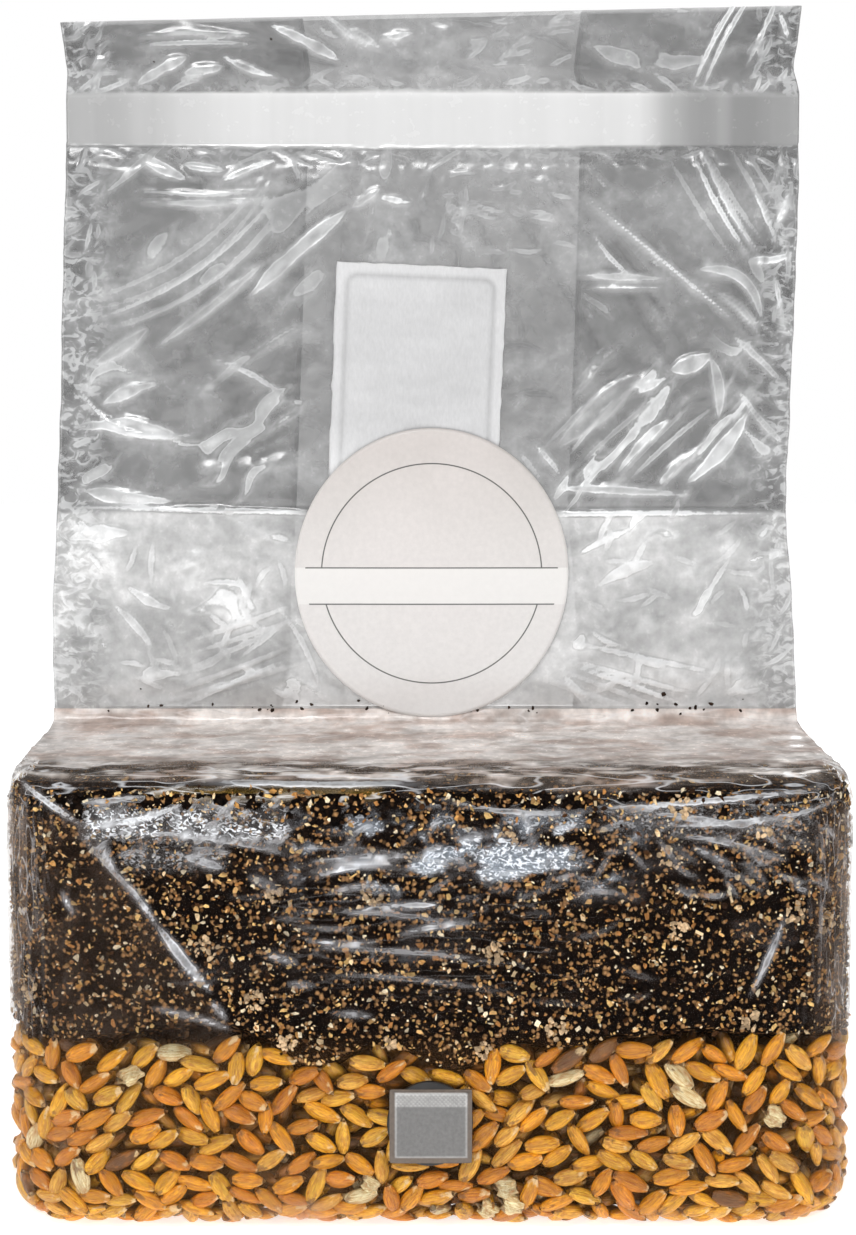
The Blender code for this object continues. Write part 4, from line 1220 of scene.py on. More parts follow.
def grain_kernels():
    """Kernels packed against the film in three layers, thinned out of sight and dimmed inwards."""
    rng = np.random.default_rng(7)
    v_top = GRAIN_TOP / MM + RISE
    places = grid_places(7.4, 5.5, (-4.5, v_top + 2), (2.3, 6.1, 9.6), 8)
    top = grain_top(places[:, 0]) + RISE
    keep = places[:, 1] < top - 0.6
    keep &= ~((places[:, 2] > 7.5) & (places[:, 1] < BASE_RUN))
    places, top = places[keep], top[keep]
    count = len(places)
    slope = np.where(rng.random(count) < 0.5, 1, -1) * np.radians(rng.normal(34, 26, count))
    into = np.where(places[:, 2] < 4, rng.normal(0, 0.12, count), rng.normal(0, 0.5, count))
    aim = np.stack([np.cos(slope), np.sin(slope), into], axis=-1)
    aim /= np.linalg.norm(aim, axis=1, keepdims=True)
    long = rng.uniform(4.7, 6.2, count)
    places, aim = settle(places, aim, long * 0.6, 2.15, 1.25, top, 48)
    depth = np.clip(places[:, 2], 0.8, 14)
    point, tangent, up, inward = wall_place(places[:, 0], places[:, 1], depth)
    direction = aim[:, :1] * tangent + aim[:, 1:2] * up + aim[:, 2:] * inward
    axes = frames_from(direction, -inward, rng.uniform(-0.9, 0.9, count))
    wide = rng.uniform(1.95, 2.5, count)
    sizes = np.stack([long, wide, wide * rng.uniform(0.9, 1.05, count)], axis=-1)
    tone = GRAIN_TONES[rng.integers(0, len(GRAIN_TONES), count)]
    tone = tone * rng.uniform(0.8, 1.1, (count, 1))
    kind = rng.random(count)
    tone = np.where((kind < 0.06)[:, None], PALE_GRAIN * rng.uniform(0.8, 1.1, (count, 1)), tone)
    tone = np.where((kind > 0.965)[:, None], DARK_GRAIN * rng.uniform(0.7, 1.3, (count, 1)), tone)
    broken = kind < 0.032
    sizes[broken, 0] *= 0.62
    sizes[broken, 1:] *= 1.05
    own = rng.uniform(0, 40, (count, 3))
    x, _, _ = wall_frame(places[:, 0])
    facing = (np.abs(x) < WALL_A - 1) & (point[:, 1] < -WALL_B + 18)
    outer = places[:, 2] < 4.0
    groups = (("grain_front", facing & outer, 11, 9), ("grain_front_deep", facing & ~outer, 7, 5),
              ("grain_walls", ~facing & outer, 8, 7), ("grain_walls_deep", ~facing & ~outer, 6, 3))
    made = []
    for name, chosen, sides, rings in groups:
        whole, parts = chosen & ~broken, chosen & broken
        sets, lays = [], []
        for pick, shape in ((whole, kernel_shape(sides, rings)),
                            (parts, kernel_shape(sides, rings, True))):
            if not pick.any():
                continue
            world, quads, tris = place_copies(shape, point[pick], axes[pick], sizes[pick])
            world[:, 2] = np.maximum(world[:, 2], 0.15 * MM)
            sunk = place_depth(shape, axes[pick], sizes[pick], inward[pick], depth[pick])
            # painted shade: each point is darkened the deeper it lies behind the film
            dim = 1 - 0.88 * smooth(1.5, 5.0, sunk)
            shade = tone[pick][:, None, :] * (shape[3][None, :] * dim)[..., None]
            sets.append((world, quads, tris, shade.reshape(-1, 3)))
            share = np.broadcast_to(0.5 + 0.5 * shape[0][None, :, :1], (pick.sum(), len(shape[0]), 1))
            lay = np.concatenate((shape[0] + own[pick][:, None, :], share), axis=-1)
            lays.append(lay.reshape(-1, 4))
        piece = join_sets(name, sets, ("grain_layer",))
        paint(piece, "lay", np.concatenate(lays))
        made.append(piece)
    return made


def place_depth(shape, axes, sizes, inward, depth):
    """How deep behind the film each point of each copy lies, in mm."""
    across = np.einsum("nkc,nc->nk", axes, inward) * sizes
    return depth[:, None] + across @ shape[0].T


def porous_clumps():
    """Pale lumps of many chips stuck together, pressed against the film."""
    rng, point, tangent, up, inward = scattered(46, 400, 0.0, (0.9, 1.5))
    chips = 26
    sets = []
    for k in range(3):
        mine = slice(k, None, 3)
        count = len(point[mine])
        reach = rng.uniform(1.6, 3.3, (count, 1, 1))
        turn = rng.uniform(0, 2 * math.pi, (count, chips, 1))
        off = reach * np.sqrt(rng.uniform(0.12, 1.0, (count, chips, 1)))
        centre = (point[mine][:, None] + off * np.cos(turn) * tangent[mine][:, None]
                  + off * np.sin(turn) * up[mine][:, None]
                  - rng.uniform(0.0, 0.9, (count, chips, 1)) * inward[mine][:, None]).reshape(-1, 3)
        outward = np.repeat(-inward[mine], chips, axis=0)
        size = rng.uniform(0.4, 0.95, (count * chips, 1)) * rng.uniform(0.6, 1.3, (count * chips, 3))
        world, quads, tris = place_copies(chunk_shape(440 + k), centre,
                                          random_axes(rng, count * chips, outward, 0.2), size)
        shade = np.array((0.86, 0.62, 0.38)) * rng.uniform(0.35, 1.1, (count * chips, 1))
        sets.append((world, quads, tris, np.repeat(shade, 12, axis=0)))
    return join_sets("substrate_clumps", sets, ("substrate_layer",), False)


def join_sets(name, sets, replaces=(), smooth_shade=True):
    """One piece from sets of copies, each with points, quads, triangles and colours."""
    points, quads, tris, shades, first = [], [], [], [], 0
    for world, q, t, shade in sets:
        points.append(world)
        quads.append(q + first)
        tris.append(t + first)
        shades.append(shade)
        first += len(world)
    piece = mesh_piece(name, np.concatenate(points), [np.concatenate(quads), np.concatenate(tris)],
                       replaces, smooth_shade)
    shade = np.concatenate(shades)
    paint(piece, "tint", np.concatenate((shade, np.ones((len(shade), 1))), axis=-1))
    return piece


def filling_bed(name, node, v_low, v_high, depth_of, step, closing, seed, smooth_shade=True):
    """Lumpy wall from v_low to v_high, closed above or below with shrinking rings."""
    count = int(PERIMETER / step)
    s = np.arange(count) * PERIMETER / count
    v = np.arange(v_low, v_high, step)
    ss, vv = np.meshgrid(s, v)
    depth = depth_of(ss, vv)
    points, _, _, _ = wall_place(ss, vv, depth)
    rings = []
    edge = points[-1] if closing > 0 else points[0]
    centre = np.array([0.0, 0.0, 0.0])
    steps = 26
    for k in range(1, steps):
        share = 1 - (k / steps) ** 0.9
        ring = centre + (edge - centre) * (share, share, 1.0)
        lump = fractal(ring[:, 0] / 5, ring[:, 1] / 5, 0.5, seed + 5)
        dome = FILL_TOP / MM - edge[:, 2].mean() if closing > 0 else 0.0
        ring[:, 2] = ring[:, 2] + closing * (dome * min(1.0, k / 3) + 0.7 * lump * min(1.0, k / 3))
        rings.append(ring)
    rings = np.array(rings)
    middle = rings[-1].mean(axis=0)[None]
    if closing > 0:
        grid = np.concatenate((points, rings))
    else:
        grid = np.concatenate((rings[::-1], points))
    flat = np.concatenate((grid.reshape(-1, 3), middle))
    j, k = loop_pairs(count)
    if closing > 0:
        base = (len(grid) - 1) * count
        tip = np.stack([base + j, base + k, np.full(count, len(flat) - 1)], axis=-1)
    else:
        tip = np.stack([k, j, np.full(count, len(flat) - 1)], axis=-1)
    return mesh_piece(name, flat * MM, [ring_faces(len(grid), count), tip], (node,), smooth_shade)


def substrate_depth(s, v):
    """How far behind the film the substrate lies, in mm; it leaves room for the grain."""
    z = v - RISE
    x, y, _ = wall_frame(s)
    under = 1 - smooth(-3.5, 1.0, z - grain_top(s))
    lump = 0.9 - 0.7 * fractal(x / 3.1, y / 3.1, z / 3.1, 111)
    lump = lump - 0.5 * np.abs(noise(x / 1.4, y / 1.4, z / 1.4, 112))
    shoulder = 1.2 * smooth(*SHOULDER, z)
    return np.maximum(lump + 0.3, 0.55) + 9.5 * under + shoulder


def chunk_shape(seed, flat=1.0):
    """A small angular lump: a pushed-about icosahedron."""
    g = (1 + 5 ** 0.5) / 2
    points = np.array([(-1, g, 0), (1, g, 0), (-1, -g, 0), (1, -g, 0), (0, -1, g), (0, 1, g),
                       (0, -1, -g), (0, 1, -g), (g, 0, -1), (g, 0, 1), (-g, 0, -1), (-g, 0, 1)], float)
    faces = np.array([(0, 11, 5), (0, 5, 1), (0, 1, 7), (0, 7, 10), (0, 10, 11), (1, 5, 9), (5, 11, 4),
                      (11, 10, 2), (10, 7, 6), (7, 1, 8), (3, 9, 4), (3, 4, 2), (3, 2, 6), (3, 6, 8),
                      (3, 8, 9), (4, 9, 5), (2, 4, 11), (6, 2, 10), (8, 6, 7), (9, 8, 1)])
    rng = np.random.default_rng(seed)
    points = points / np.linalg.norm(points[0]) * rng.uniform(0.65, 1.2, (12, 1))
    points[:, 2] *= flat
    return points, np.zeros((0, 4), int), faces, np.ones(12)


def flake_shape(seed):
    """A thin angular chip: five corners, front and back."""
    rng = np.random.default_rng(seed)
    a = np.sort(rng.uniform(0, 2 * math.pi, 5)) * 0.4 + np.arange(5) * 2 * math.pi / 5 * 0.6
    rim = np.stack([np.cos(a), np.sin(a), np.zeros(5)], axis=-1) * rng.uniform(0.6, 1.2, (5, 1))
    points = np.concatenate((rim, [(0.1, 0, 0.28), (-0.05, 0.05, -0.25)]))
    j, k = loop_pairs(5)
    top = np.stack([j, k, np.full(5, 5)], axis=-1)
    under = np.stack([k, j, np.full(5, 6)], axis=-1)
    return points, np.zeros((0, 4), int), np.concatenate((top, under)), np.ones(7)


def scattered(count, seed, low_gap, depth):
    """Random wall places in the substrate zone, from just above the grain to the shoulder:
    the generator, then the points and their directions around, up and inwards."""
    rng = np.random.default_rng(seed)
    s = rng.uniform(0, PERIMETER, count)
    low = grain_top(s) + low_gap
    z = low + (115.2 - low) * rng.random(count)
    v = z + RISE
    inwards = rng.uniform(depth[0], depth[1], count) + 1.2 * smooth(*SHOULDER, z)
    return (rng,) + wall_place(s, v, inwards)


def on_roof(count, seed, sink):
    """Random places on top of the substrate, under the roof, in mm."""
    rng = np.random.default_rng(seed)
    x = rng.uniform(-WALL_A + 6, WALL_A - 6, count)
    y = rng.uniform(-WALL_B + 1.5, WALL_B - 1.5, count)
    rounded = 3.5 * np.clip(1 - (WALL_B - np.abs(y)) / 8, 0, 1) ** 2
    top = FILL_TOP / MM + 0.7 * fractal(x / 5, y / 5, 0.5, 116) - sink - rounded
    return np.stack([x, y, top], axis=-1)


def random_axes(rng, count, outward, lie):
    """Random axes whose third direction leans to outward by lie (0 free, 1 flat on it)."""
    third = rng.normal(0, 1, (count, 3)) * (1 - lie) + outward * (0.3 + lie)
    return frames_from(np.cross(rng.normal(0, 1, (count, 3)), third), third, np.zeros(count))


BROWNS = np.array([(0.01, 0.005, 0.003), (0.022, 0.01, 0.005), (0.006, 0.003, 0.002),
                   (0.06, 0.026, 0.01), (0.034, 0.016, 0.008)])
GOLDS = np.array([(0.72, 0.43, 0.17), (0.86, 0.64, 0.38), (0.56, 0.29, 0.09), (0.92, 0.78, 0.55),
                  (0.42, 0.19, 0.06), (0.8, 0.52, 0.2)])


def strewn_bits(name, seed, on_wall, wall_gap, wall_depth, on_top, sink, shape_of, size_of, lie, tones, fade):
    """Six lots of one kind of bit, pressed against the film and lying on top of the bed."""
    sets = []
    for k in range(6):
        rng, point, _, _, inward = scattered(on_wall, seed + k, wall_gap, wall_depth)
        roof = on_roof(on_top, seed + 20 + k, sink)
        point = np.concatenate((point, roof))
        outward = np.concatenate((-inward, np.tile([0, 0, 1.0], (len(roof), 1))))
        count = len(point)
        size = size_of(rng, count)
        shape = shape_of(seed + 40 + k)
        world, quads, tris = place_copies(shape, point, random_axes(rng, count, outward, lie), size)
        shade = tones[rng.integers(0, len(tones), count)] * rng.uniform(*fade, (count, 1))
        sets.append((world, quads, tris, np.repeat(shade, len(shape[0]), axis=0)))
    return join_sets(name, sets, ("substrate_layer",), False)


def crumb_sizes(rng, count):
    """Blocky crumbs, 0.3 to 1.4 mm from the middle."""
    return rng.uniform(0.4, 1.05, (count, 1)) * rng.uniform(0.7, 1.3, (count, 3))


def flake_sizes(rng, count):
    """Mostly fine flakes, with a few up to 1.3 mm from the middle."""
    return (0.3 + 0.7 * rng.random((count, 1)) ** 2.6) * rng.uniform(0.65, 1.35, (count, 3))


def loose_specks():
    """Dust and crumbs that fell down inside the upper bag, a few of them above the seal."""
    rng = np.random.default_rng(500)
    count, above = 60, slice(-9, None)
    x = rng.uniform(-98, 98, count)
    z = RIDGE_Z / MM + 1.5 + rng.exponential(1.8, count)
    z[above] = rng.uniform(300, 317, 9)
    x[above] = rng.uniform(-85, -20, 9)
    point = np.stack([x, front_y(x, z) - 0.05, z], axis=-1)
    size = rng.uniform(0.22, 0.85, (count, 1)) * rng.uniform(0.6, 1.3, (count, 3))
    size[above] *= 0.45
    axes = random_axes(rng, count, np.tile([0, -1.0, 0], (count, 1)), 0.3)
    world, quads, tris = place_copies(chunk_shape(510), point, axes, size)
    shade = np.tile((0.03, 0.018, 0.012), (count, 1)) * rng.uniform(0.5, 2.0, (count, 1))
    sets = [(world, quads, tris, np.repeat(shade, 12, axis=0))]
    return join_sets("loose_specks", sets, (), False)


def substrate_bits():
    """Dark crumbs, golden flakes, pale clumps and the specks in the upper bag."""
    crumbs = strewn_bits("substrate_crumbs", 200, 470, -1.5, (0.6, 1.8), 70, 0.2,
                         chunk_shape, crumb_sizes, 0.0, BROWNS, (0.7, 1.4))
    flakes = strewn_bits("substrate_flakes", 300, 2100, 0.3, (0.35, 0.9), 190, -0.3,
                         flake_shape, flake_sizes, 0.55, GOLDS, (0.5, 1.35))
    return [crumbs, flakes, porous_clumps(), loose_specks()]


# ---------------------------------------------------------------- material helpers
def node(tree, kind, inputs=(), **settings):
    """A shader node; an input is a plain value, a socket or a Wire."""
    made = tree.nodes.new("ShaderNode" + kind)
    for key, value in settings.items():
        setattr(made, key, value)
    for key, value in dict(inputs).items():
        value = value.socket if isinstance(value, Wire) else value
        if isinstance(value, bpy.types.NodeSocket):
            tree.links.new(value, made.inputs[key])
        else:
            made.inputs[key].default_value = value
    return made


class Wire:
    """The output of a node; arithmetic on it adds the maths nodes that are needed."""

    def __init__(self, tree, socket):
        self.tree, self.socket = tree, socket

    def maths(self, operation, other=0.0, clamp=False):
        made = node(self.tree, "Math", {0: self, 1: other}, operation=operation, use_clamp=clamp)
        return Wire(self.tree, made.outputs[0])

    def __add__(self, other):
        return self.maths("ADD", other)

    def __sub__(self, other):
        return self.maths("SUBTRACT", other)

    def __rsub__(self, other):
        made = node(self.tree, "Math", {0: other, 1: self}, operation="SUBTRACT")
        return Wire(self.tree, made.outputs[0])

    def __mul__(self, other):
        return self.maths("MULTIPLY", other)

    def __abs__(self):
        return self.maths("ABSOLUTE")

    def larger(self, other, clamp=False):
        return self.maths("MAXIMUM", other, clamp)

    def spread(self, low, high, to_low, to_high):
        """low to high mapped to to_low to to_high, held at both ends."""
        made = node(self.tree, "MapRange", {"Value": self, "From Min": low, "From Max": high,
                                            "To Min": to_low, "To Max": to_high}, clamp=True)
        return Wire(self.tree, made.outputs["Result"])


class Surface:
    """A material being made: its node tree and the shader that the nodes end in."""

    def __init__(self, name, **values):
        self.material = bpy.data.materials.new(name)
        self.material.use_nodes = True
        self.tree = self.material.node_tree
        self.shader = self.tree.nodes["Principled BSDF"]
        for key, value in values.items():
            self.shader.inputs[key.replace("_", " ")].default_value = value

    def wire(self, kind, inputs=(), output=0, **settings):
        return Wire(self.tree, node(self.tree, kind, inputs, **settings).outputs[output])

    def attribute(self, name, output="Fac"):
        return self.wire("Attribute", (), output, attribute_name=name)

    def split(self, colour):
        made = node(self.tree, "SeparateColor", {0: colour})
        return [Wire(self.tree, socket) for socket in made.outputs]

    def place(self, scale=(1, 1, 1), of=None):
        coords = of or self.wire("TexCoord", (), "Object")
        return self.wire("Mapping", {"Vector": coords, "Scale": scale})

    def noise(self, scale, detail=3.0, rough=0.5, stretch=(1, 1, 1), of=None, twist=0.0):
        return self.wire("TexNoise", {"Vector": self.place(stretch, of), "Scale": scale, "Detail": detail,
                                      "Roughness": rough, "Distortion": twist}, "Fac")

    def mix(self, factor, first, second, blend="MIX"):
        return self.wire("Mix", {0: factor, 6: first, 7: second}, 2, data_type="RGBA", blend_type=blend)

    def times(self, colour, *values):
        """The colour multiplied by one value, or by one each for red, green and blue."""
        values = values * 3 if len(values) == 1 else values
        return self.mix(1.0, colour, self.wire("CombineColor", dict(enumerate(values))), "MULTIPLY")

    def end(self, key, value):
        self.tree.links.new(value.socket, self.shader.inputs[key])

    def finish(self, colour, rough, height, strength, distance):
        """Links the colour, the roughness and the relief, and gives back the material."""
        self.end("Base Color", colour)
        self.end("Roughness", rough)
        self.end("Normal", self.wire("Bump", {"Height": height, "Strength": strength, "Distance": distance}))
        return self.material


# ---------------------------------------------------------------- materials
def flow_lines(surface, scale, stretch, mask):
    """Thin lines along the contours of drawn-out noise, a pale one and a dark one beside it: painted
    highlight and painted shade of wrinkles.
    """
    value = surface.noise(scale, 1, 0.55, stretch)
    return [abs(value - middle).spread(0.004, 0.026, 1, 0) * mask for middle in (0.5, 0.56)]


def film_material(name, shine, highlight_colours, shade_colours, crumple_scale, wrinkled):
    """Clear film: painted colour and opacity, whitened on creases partly by stress whitening and partly as
    painted highlight, with painted crisp highlights, their painted dark outlines and the painted glints and
    shade of crumpled swirls; wrinkled adds the fine lines of tight film.
    The painted highlight colour and the painted shade colour each come with how much opacity they add."""
    s = Surface(name, Specular_IOR_Level=shine, IOR=1.5)
    crease, free = s.attribute("crease"), 1.0 - s.attribute("calm")
    field, level, crumpled_sheen = s.split(s.attribute("leaf", "Color"))
    mottle = s.noise(95, 2, 0.6)
    grit = s.noise(360, 2, 0.65)
    cloud = mottle.spread(0.3, 0.7, 0.86, 1.12) * grit.spread(0.3, 0.7, 0.82, 1.16)
    colour = s.times(s.attribute("tint", "Color"), (cloud - 1.0) * free + 1.0)

    # painted highlights: brightest along the rim, with a painted dark outline, edges broken up by the grit
    ragged = field + (grit - 0.5) * 0.3
    inside = ragged.spread(0.47, 0.53, 0, 1) * level * ragged.spread(0.58, 0.72, 1.15, 0.62)
    outline = ragged.spread(0.3, 0.38, 0, 1) * ragged.spread(0.43, 0.48, 1, 0) * level
    swirl = s.noise(crumple_scale, 2, 0.5, (1, 1, 1.4), twist=1.4)
    white = inside.larger(crease * 0.75).larger(swirl.spread(0.5, 0.6, 0, 1) * crumpled_sheen, True)
    dark = outline.larger(swirl.spread(0.5, 0.42, 0, 1) * crumpled_sheen, True)
    if wrinkled:
        pale_flat, dark_flat = flow_lines(s, 48, (1, 4, 6), s.attribute("leaf", "Alpha"))
        pale_up, dark_up = flow_lines(s, 60, (6, 6, 1), s.attribute("upright"))
        white = white.larger(pale_flat.larger(pale_up))
        dark = dark.larger(dark_flat.larger(dark_up))
    colour = s.mix(dark * 0.8, colour, shade_colours[0])
    colour = s.mix(white, colour, highlight_colours[0])
    alpha = s.attribute("tint", "Alpha") * (mottle.spread(0.3, 0.7, -0.12, 0.12) * free + 1.0)
    alpha = alpha + crease * 0.2 + dark * shade_colours[1]
    s.end("Alpha", alpha.maths("ADD", white * highlight_colours[1], True))
    return s.finish(colour, grit.spread(0.35, 0.7, 0.13, 0.3), mottle * free, 0.35, 1.2 * MM)


def grain_material():
    """Kernels: streaked along their length and blotched, in coordinates that they carry."""
    s = Surface("grain_hulls", Specular_IOR_Level=0.6)
    lay = s.attribute("lay", "Color")
    streak = s.noise(1.0, stretch=(1.4, 6.5, 6.5), of=lay)
    blotch = s.noise(1.0, stretch=(1.5, 1.3, 1.3), of=lay)
    fine = s.noise(1300, 3, 0.6)
    colour = s.times(s.attribute("tint", "Color"), streak.spread(0.34, 0.66, 0.68, 1.12),
                     streak.spread(0.34, 0.66, 0.54, 1.3), streak.spread(0.34, 0.66, 0.3, 1.3))
    colour = s.mix(blotch.spread(0.54, 0.68, 0.0, 0.6), colour, (0.42, 0.14, 0.01, 1))
    # one end bleached, the other burnt, on the kernels where the blotches reach it
    wander = (blotch - 0.5) * 1.6
    end = s.attribute("lay", "Alpha") + wander
    bleached = (end - wander * 2.0).spread(0.86, 1.02, 0.0, 0.8)
    colour = s.mix(bleached, colour, (0.88, 0.64, 0.34, 1))
    colour = s.mix(end.spread(0.16, 0.0, 0.0, 0.75), colour, (0.16, 0.055, 0.008, 1))
    colour = s.mix(fine.spread(0.66, 0.72, 0.0, 0.6), colour, (0.12, 0.04, 0.006, 1))
    return s.finish(colour, streak.spread(0.3, 0.7, 0.26, 0.46), streak + fine * 0.3, 0.6, 0.6 * MM)


def bits_material():
    """Crumbs, flakes and clumps of the substrate, in the colours that they carry."""
    s = Surface("substrate_bits", Specular_IOR_Level=0.05)
    fine = s.noise(1500, 3, 0.65)
    colour = s.times(s.attribute("tint", "Color"), fine.spread(0.3, 0.7, 0.6, 1.25))
    return s.finish(colour, fine.spread(0.3, 0.7, 0.45, 0.8), fine, 0.6, 0.3 * MM)


def bed_material(name, dark, middle, light, scale):
    """A bed of small lumps, a few of them light, darkened towards the gaps between them as painted shade."""
    s = Surface(name, Specular_IOR_Level=0.04)
    cells = node(s.tree, "TexVoronoi", {"Vector": s.place(), "Scale": scale}).outputs
    lumps = s.split(cells["Color"])[0]
    middles = Wire(s.tree, cells["Distance"])
    clouds = s.noise(scale * 0.35, 4, 0.65)
    colour = s.mix(clouds.spread(0.35, 0.65, 0, 1), dark, middle)
    colour = s.mix(lumps.spread(0.83, 0.86, 0, 1), colour, light)
    # painted shade: darker away from the middle of each lump, towards the gaps
    colour = s.times(colour, middles.spread(0.25, 0.75, 1.0, 0.25))
    return s.finish(colour, lumps.spread(0, 1, 0.35, 0.8), clouds * 0.7 - middles, 0.9, 0.9 * MM)


def patch_material():
    """White fleece with long fibres, in the tones that the patch carries."""
    s = Surface("filter_fleece", Specular_IOR_Level=0.25)
    fibre = s.noise(1400, 4, 0.7, (1, 1, 0.35))
    cloud = s.noise(60, 3, 0.5)
    value = s.attribute("tone") * fibre.spread(0.3, 0.7, 0.88, 1.0) * cloud.spread(0.3, 0.7, 0.95, 1.05)
    colour = s.wire("CombineColor", {0: value, 1: value, 2: value * 1.01})
    return s.finish(colour, fibre.spread(0.3, 0.7, 0.55, 0.8), fibre, 0.25, 0.2 * MM)


def label_material():
    """Warm paper with a thin ring, and a light band between two rules across it."""
    s = Surface("label_print", Specular_IOR_Level=0.5)
    coords = node(s.tree, "SeparateXYZ", {0: s.wire("TexCoord", (), "Object")}).outputs
    x = Wire(s.tree, coords[0]) - LABEL_AT.x
    z = Wire(s.tree, coords[2]) - LABEL_AT.z
    radius = (x * x + z * z).maths("SQRT")

    def line(value, at):
        return abs(value - at).spread(0.132 * MM, 0.22 * MM, 1, 0)

    upper_rule, lower_rule, soft = 1.6 * MM, -8.4 * MM, 0.1 * MM
    band = z.spread(lower_rule - soft, lower_rule, 0, 1) * z.spread(upper_rule, upper_rule + soft, 1, 0)
    ring = line(radius, 30.2 * MM) * (1.0 - band)
    rules = line(z, upper_rule).larger(line(z, lower_rule)) * radius.spread(34.6 * MM, 34.8 * MM, 1, 0)
    fibre = s.noise(700, 3, 0.6)
    cloud = s.noise(22, 2, 0.5)
    paper = s.mix(z.spread(-30 * MM, 34 * MM, 0, 1), (0.87, 0.86, 0.85, 1), (0.58, 0.54, 0.515, 1))
    paper = s.mix(cloud.spread(0.35, 0.65, 0, 0.3), paper, (0.86, 0.8, 0.79, 1))
    paper = s.times(paper, fibre.spread(0.3, 0.7, 0.96, 1.03))
    paper = s.mix(band * 0.6, paper, (0.9, 0.89, 0.87, 1))
    colour = s.mix(ring.larger(rules) * 0.88, paper, (0.03, 0.035, 0.03, 1))
    return s.finish(colour, fibre.spread(0.3, 0.7, 0.36, 0.5), fibre, 0.15, 0.2 * MM)


def foil_material():
    """Dull grey foil, in the colours that the cover carries."""
    s = Surface("cover_foil", Metallic=0.25, Specular_IOR_Level=0.6)
    fine = s.noise(1100, 3, 0.6)
    colour = s.times(s.attribute("tint", "Color"), fine.spread(0.3, 0.7, 0.85, 1.15))
    return s.finish(colour, fine.spread(0.3, 0.7, 0.3, 0.5), fine, 0.3, 0.2 * MM)


def rubber_material():
    """Near-black rubber with a faint bloom."""
    s = Surface("port_rubber", Specular_IOR_Level=0.5)
    fine = s.noise(800, 4, 0.6)
    cloud = s.noise(120, 2, 0.5)
    colour = s.mix(cloud.spread(0.4, 0.65, 0, 1), (0.012, 0.011, 0.011, 1), (0.03, 0.028, 0.027, 1))
    return s.finish(colour, fine.spread(0.3, 0.7, 0.32, 0.6), fine, 0.3, 0.2 * MM)


def floor_material():
    """A floor that is almost white and lit a little from within, so that it has no horizon."""
    s = Surface("studio_floor", Specular_IOR_Level=0.2, Roughness=0.7,
                Emission_Color=(1, 1, 1, 1), Emission_Strength=0.84)
    s.end("Base Color", s.mix(s.noise(3, 2, 0.5), (0.93, 0.93, 0.93, 1), (0.96, 0.96, 0.96, 1)))
    return s.material


def dress(pieces, material):
    """Gives every piece the one material."""
    for piece in pieces:
        piece.data.materials.clear()
        piece.data.materials.append(material)


# ---------------------------------------------------------------- studio
def studio():
    """The floor, four soft lights, a white surround and the camera at the photo's place."""
    reach, steps = 6.0, 12
    x, y = np.meshgrid(np.linspace(-reach, reach, steps), np.linspace(-reach, reach, steps))
    points = np.stack([x, y, np.zeros_like(x)], axis=-1).reshape(-1, 3)
    mesh = bpy.data.meshes.new("floor")
    mesh.from_pydata(points.tolist(), [], ring_faces(steps, steps, closed=False)[:, ::-1].tolist())
    floor = bpy.data.objects.new("floor", mesh)
    bpy.context.scene.collection.objects.link(floor)
    dress([floor], floor_material())

    lights = (
        # name, place, aimed at, width, height, power (W)
        ("key_softbox", (-0.25, -1.05, 1.15), (0, 0, 0.16), 0.5, 0.3, 9),
        ("left_strip", (-1.05, -0.55, 0.45), (0, 0, 0.18), 0.1, 0.9, 2.2),
        ("right_strip", (1.05, -0.65, 0.4), (0, 0, 0.18), 0.1, 0.9, 2.2),
        ("back_softbox", (0.3, 1.0, 1.2), (0, 0, 0.15), 0.6, 0.4, 8),
    )
    for name, at, aim, width, height, power in lights:
        data = bpy.data.lights.new(name, "AREA")
        data.shape, data.size, data.size_y, data.energy = "RECTANGLE", width, height, power
        lamp = bpy.data.objects.new(name, data)
        lamp.location = at
        lamp.rotation_mode = "QUATERNION"
        lamp.rotation_quaternion = (Vector(aim) - Vector(at)).to_track_quat("-Z", "Y")
        bpy.context.scene.collection.objects.link(lamp)

    world = bpy.data.worlds.new("studio_air")
    world.use_nodes = True
    tree = world.node_tree
    sky = tree.nodes["Background"]
    seen = tree.nodes.new("ShaderNodeLightPath").outputs["Is Camera Ray"]
    level = node(tree, "MapRange", {"Value": seen, "To Min": 0.2, "To Max": 1.0})
    sky.inputs["Color"].default_value = (1, 1, 1, 1)
    tree.links.new(level.outputs["Result"], sky.inputs["Strength"])
    bpy.context.scene.world = world

    camera = bpy.data.objects.new("camera", bpy.data.cameras.new("camera"))
    camera.data.sensor_width = 36.0
    camera.data.lens = 73.8
    camera.location = (-0.0005, -0.7, 0.2075)
    camera.rotation_euler = (math.radians(90 - 4.34), 0, 0)
    camera.data.clip_start = 0.02
    bpy.context.scene.collection.objects.link(camera)
    bpy.context.scene.camera = camera
    bpy.context.scene.view_settings.view_transform = "Standard"
    paths = bpy.context.scene.cycles      # few bounces: the object is opaque behind thin film
    paths.max_bounces, paths.diffuse_bounces, paths.glossy_bounces = 4, 2, 2


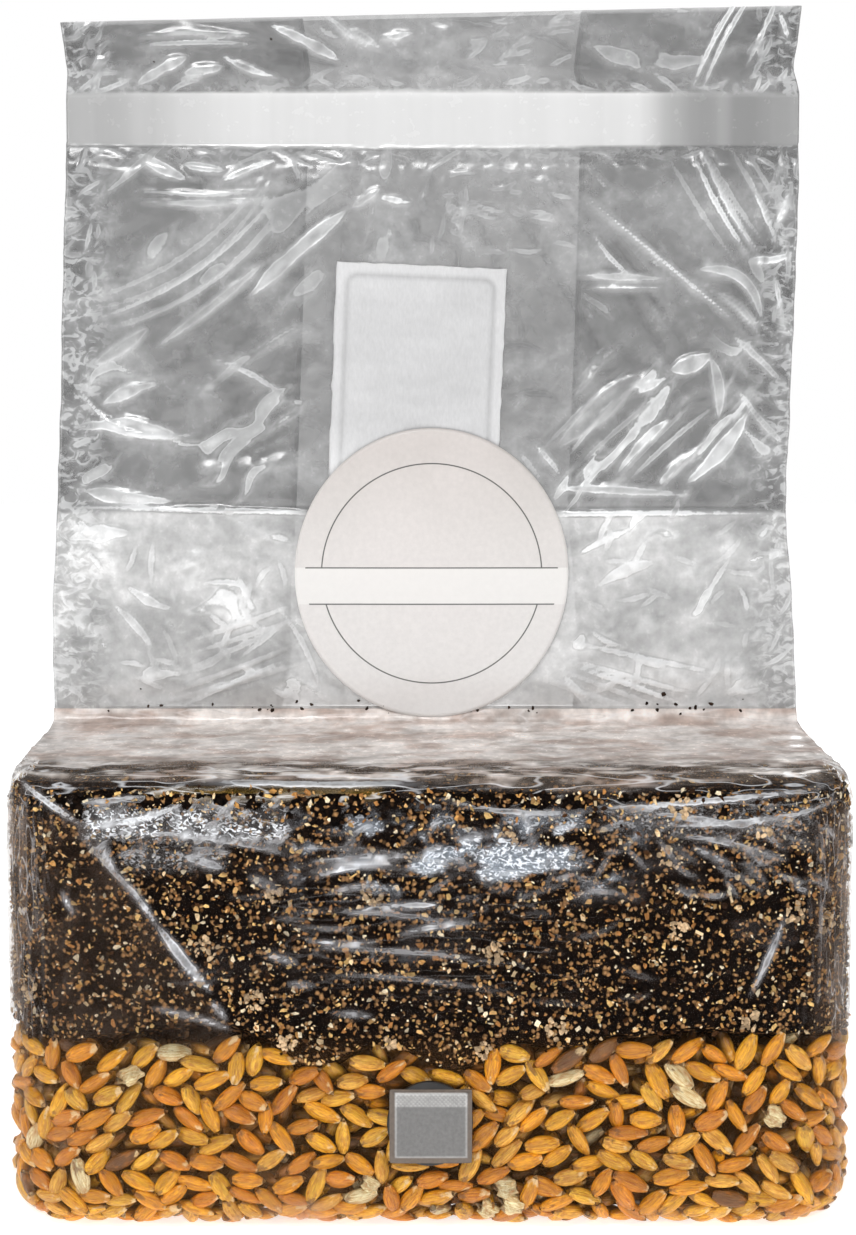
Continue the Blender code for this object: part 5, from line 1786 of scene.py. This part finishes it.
# ---------------------------------------------------------------- build
def clear_film():
    """The bag's film: one piece over the brick and two above it."""
    columns = film_columns(FRONT_COLUMNS, SIDE_COLUMNS, BACK_COLUMNS)
    fine, table = film_profile()
    border = float(np.interp(BORDER_Z, table[:, 0], fine))
    brick = brick_film(columns, border)
    sleeve = sleeve_film(columns, border, fine[-1])
    # colours of each film's painted highlights and of its painted dark outlines and shade, each with the
    # opacity it adds
    bluish, near_black = (0.9, 0.92, 0.96, 1), (0.012, 0.009, 0.008, 1)
    dress([brick], film_material("film_over_brick", 0.36, (bluish, 0.85), (near_black, 0.55), 640.0, True))
    white, dark_grey = (0.93, 0.94, 0.95, 1), (0.09, 0.09, 0.09, 1)
    dress(sleeve, film_material("film_upper", 0.8, (white, 0.4), (dark_grey, 0.18), 250.0, False))


def grain_bed_depth(s, v):
    """How far behind the film the dark bed under the kernels lies, in mm."""
    return 10.4 - 6 * smooth(16, 4, v) + 0.8 * noise(s / 4, v / 4, 0.5, 121)


def fillings():
    """The grain below and the substrate above, each with a bed behind its bits."""
    dress(grain_kernels(), grain_material())
    # the grain's bed stands for kernels further in, and its dark colours are painted shade
    bed = filling_bed("grain_bed", "grain_layer", -3.0, GRAIN_TOP / MM + 2,
                      grain_bed_depth, 4.0, -1, 122)
    dress([bed], bed_material("grain_shade", (0.035, 0.013, 0.004, 1), (0.09, 0.035, 0.008, 1),
                              (0.22, 0.1, 0.02, 1), 260))
    soil = filling_bed("substrate_bed", "substrate_layer",
                       SOIL_LOW + RISE, SOIL_TOP + RISE, substrate_depth, 1.5, 1, 111, False)
    dress([soil], bed_material("substrate_soil", (0.004, 0.0025, 0.002, 1), (0.014, 0.007, 0.004, 1),
                               (0.5, 0.27, 0.115, 1), 1050))
    dress(substrate_bits(), bits_material())


def port_rubber():
    """The CAD disc keeps its shape and only gets its material."""
    rubber = rubber_material()
    for slot in bpy.data.objects["injection_port"].material_slots:
        slot.link = "OBJECT"
        slot.material = rubber


def main():
    studio()
    clear_film()
    fillings()
    dress([filter_patch()], patch_material())
    dress([round_label()], label_material())
    dress([port_cover()], foil_material())
    port_rubber()


main()
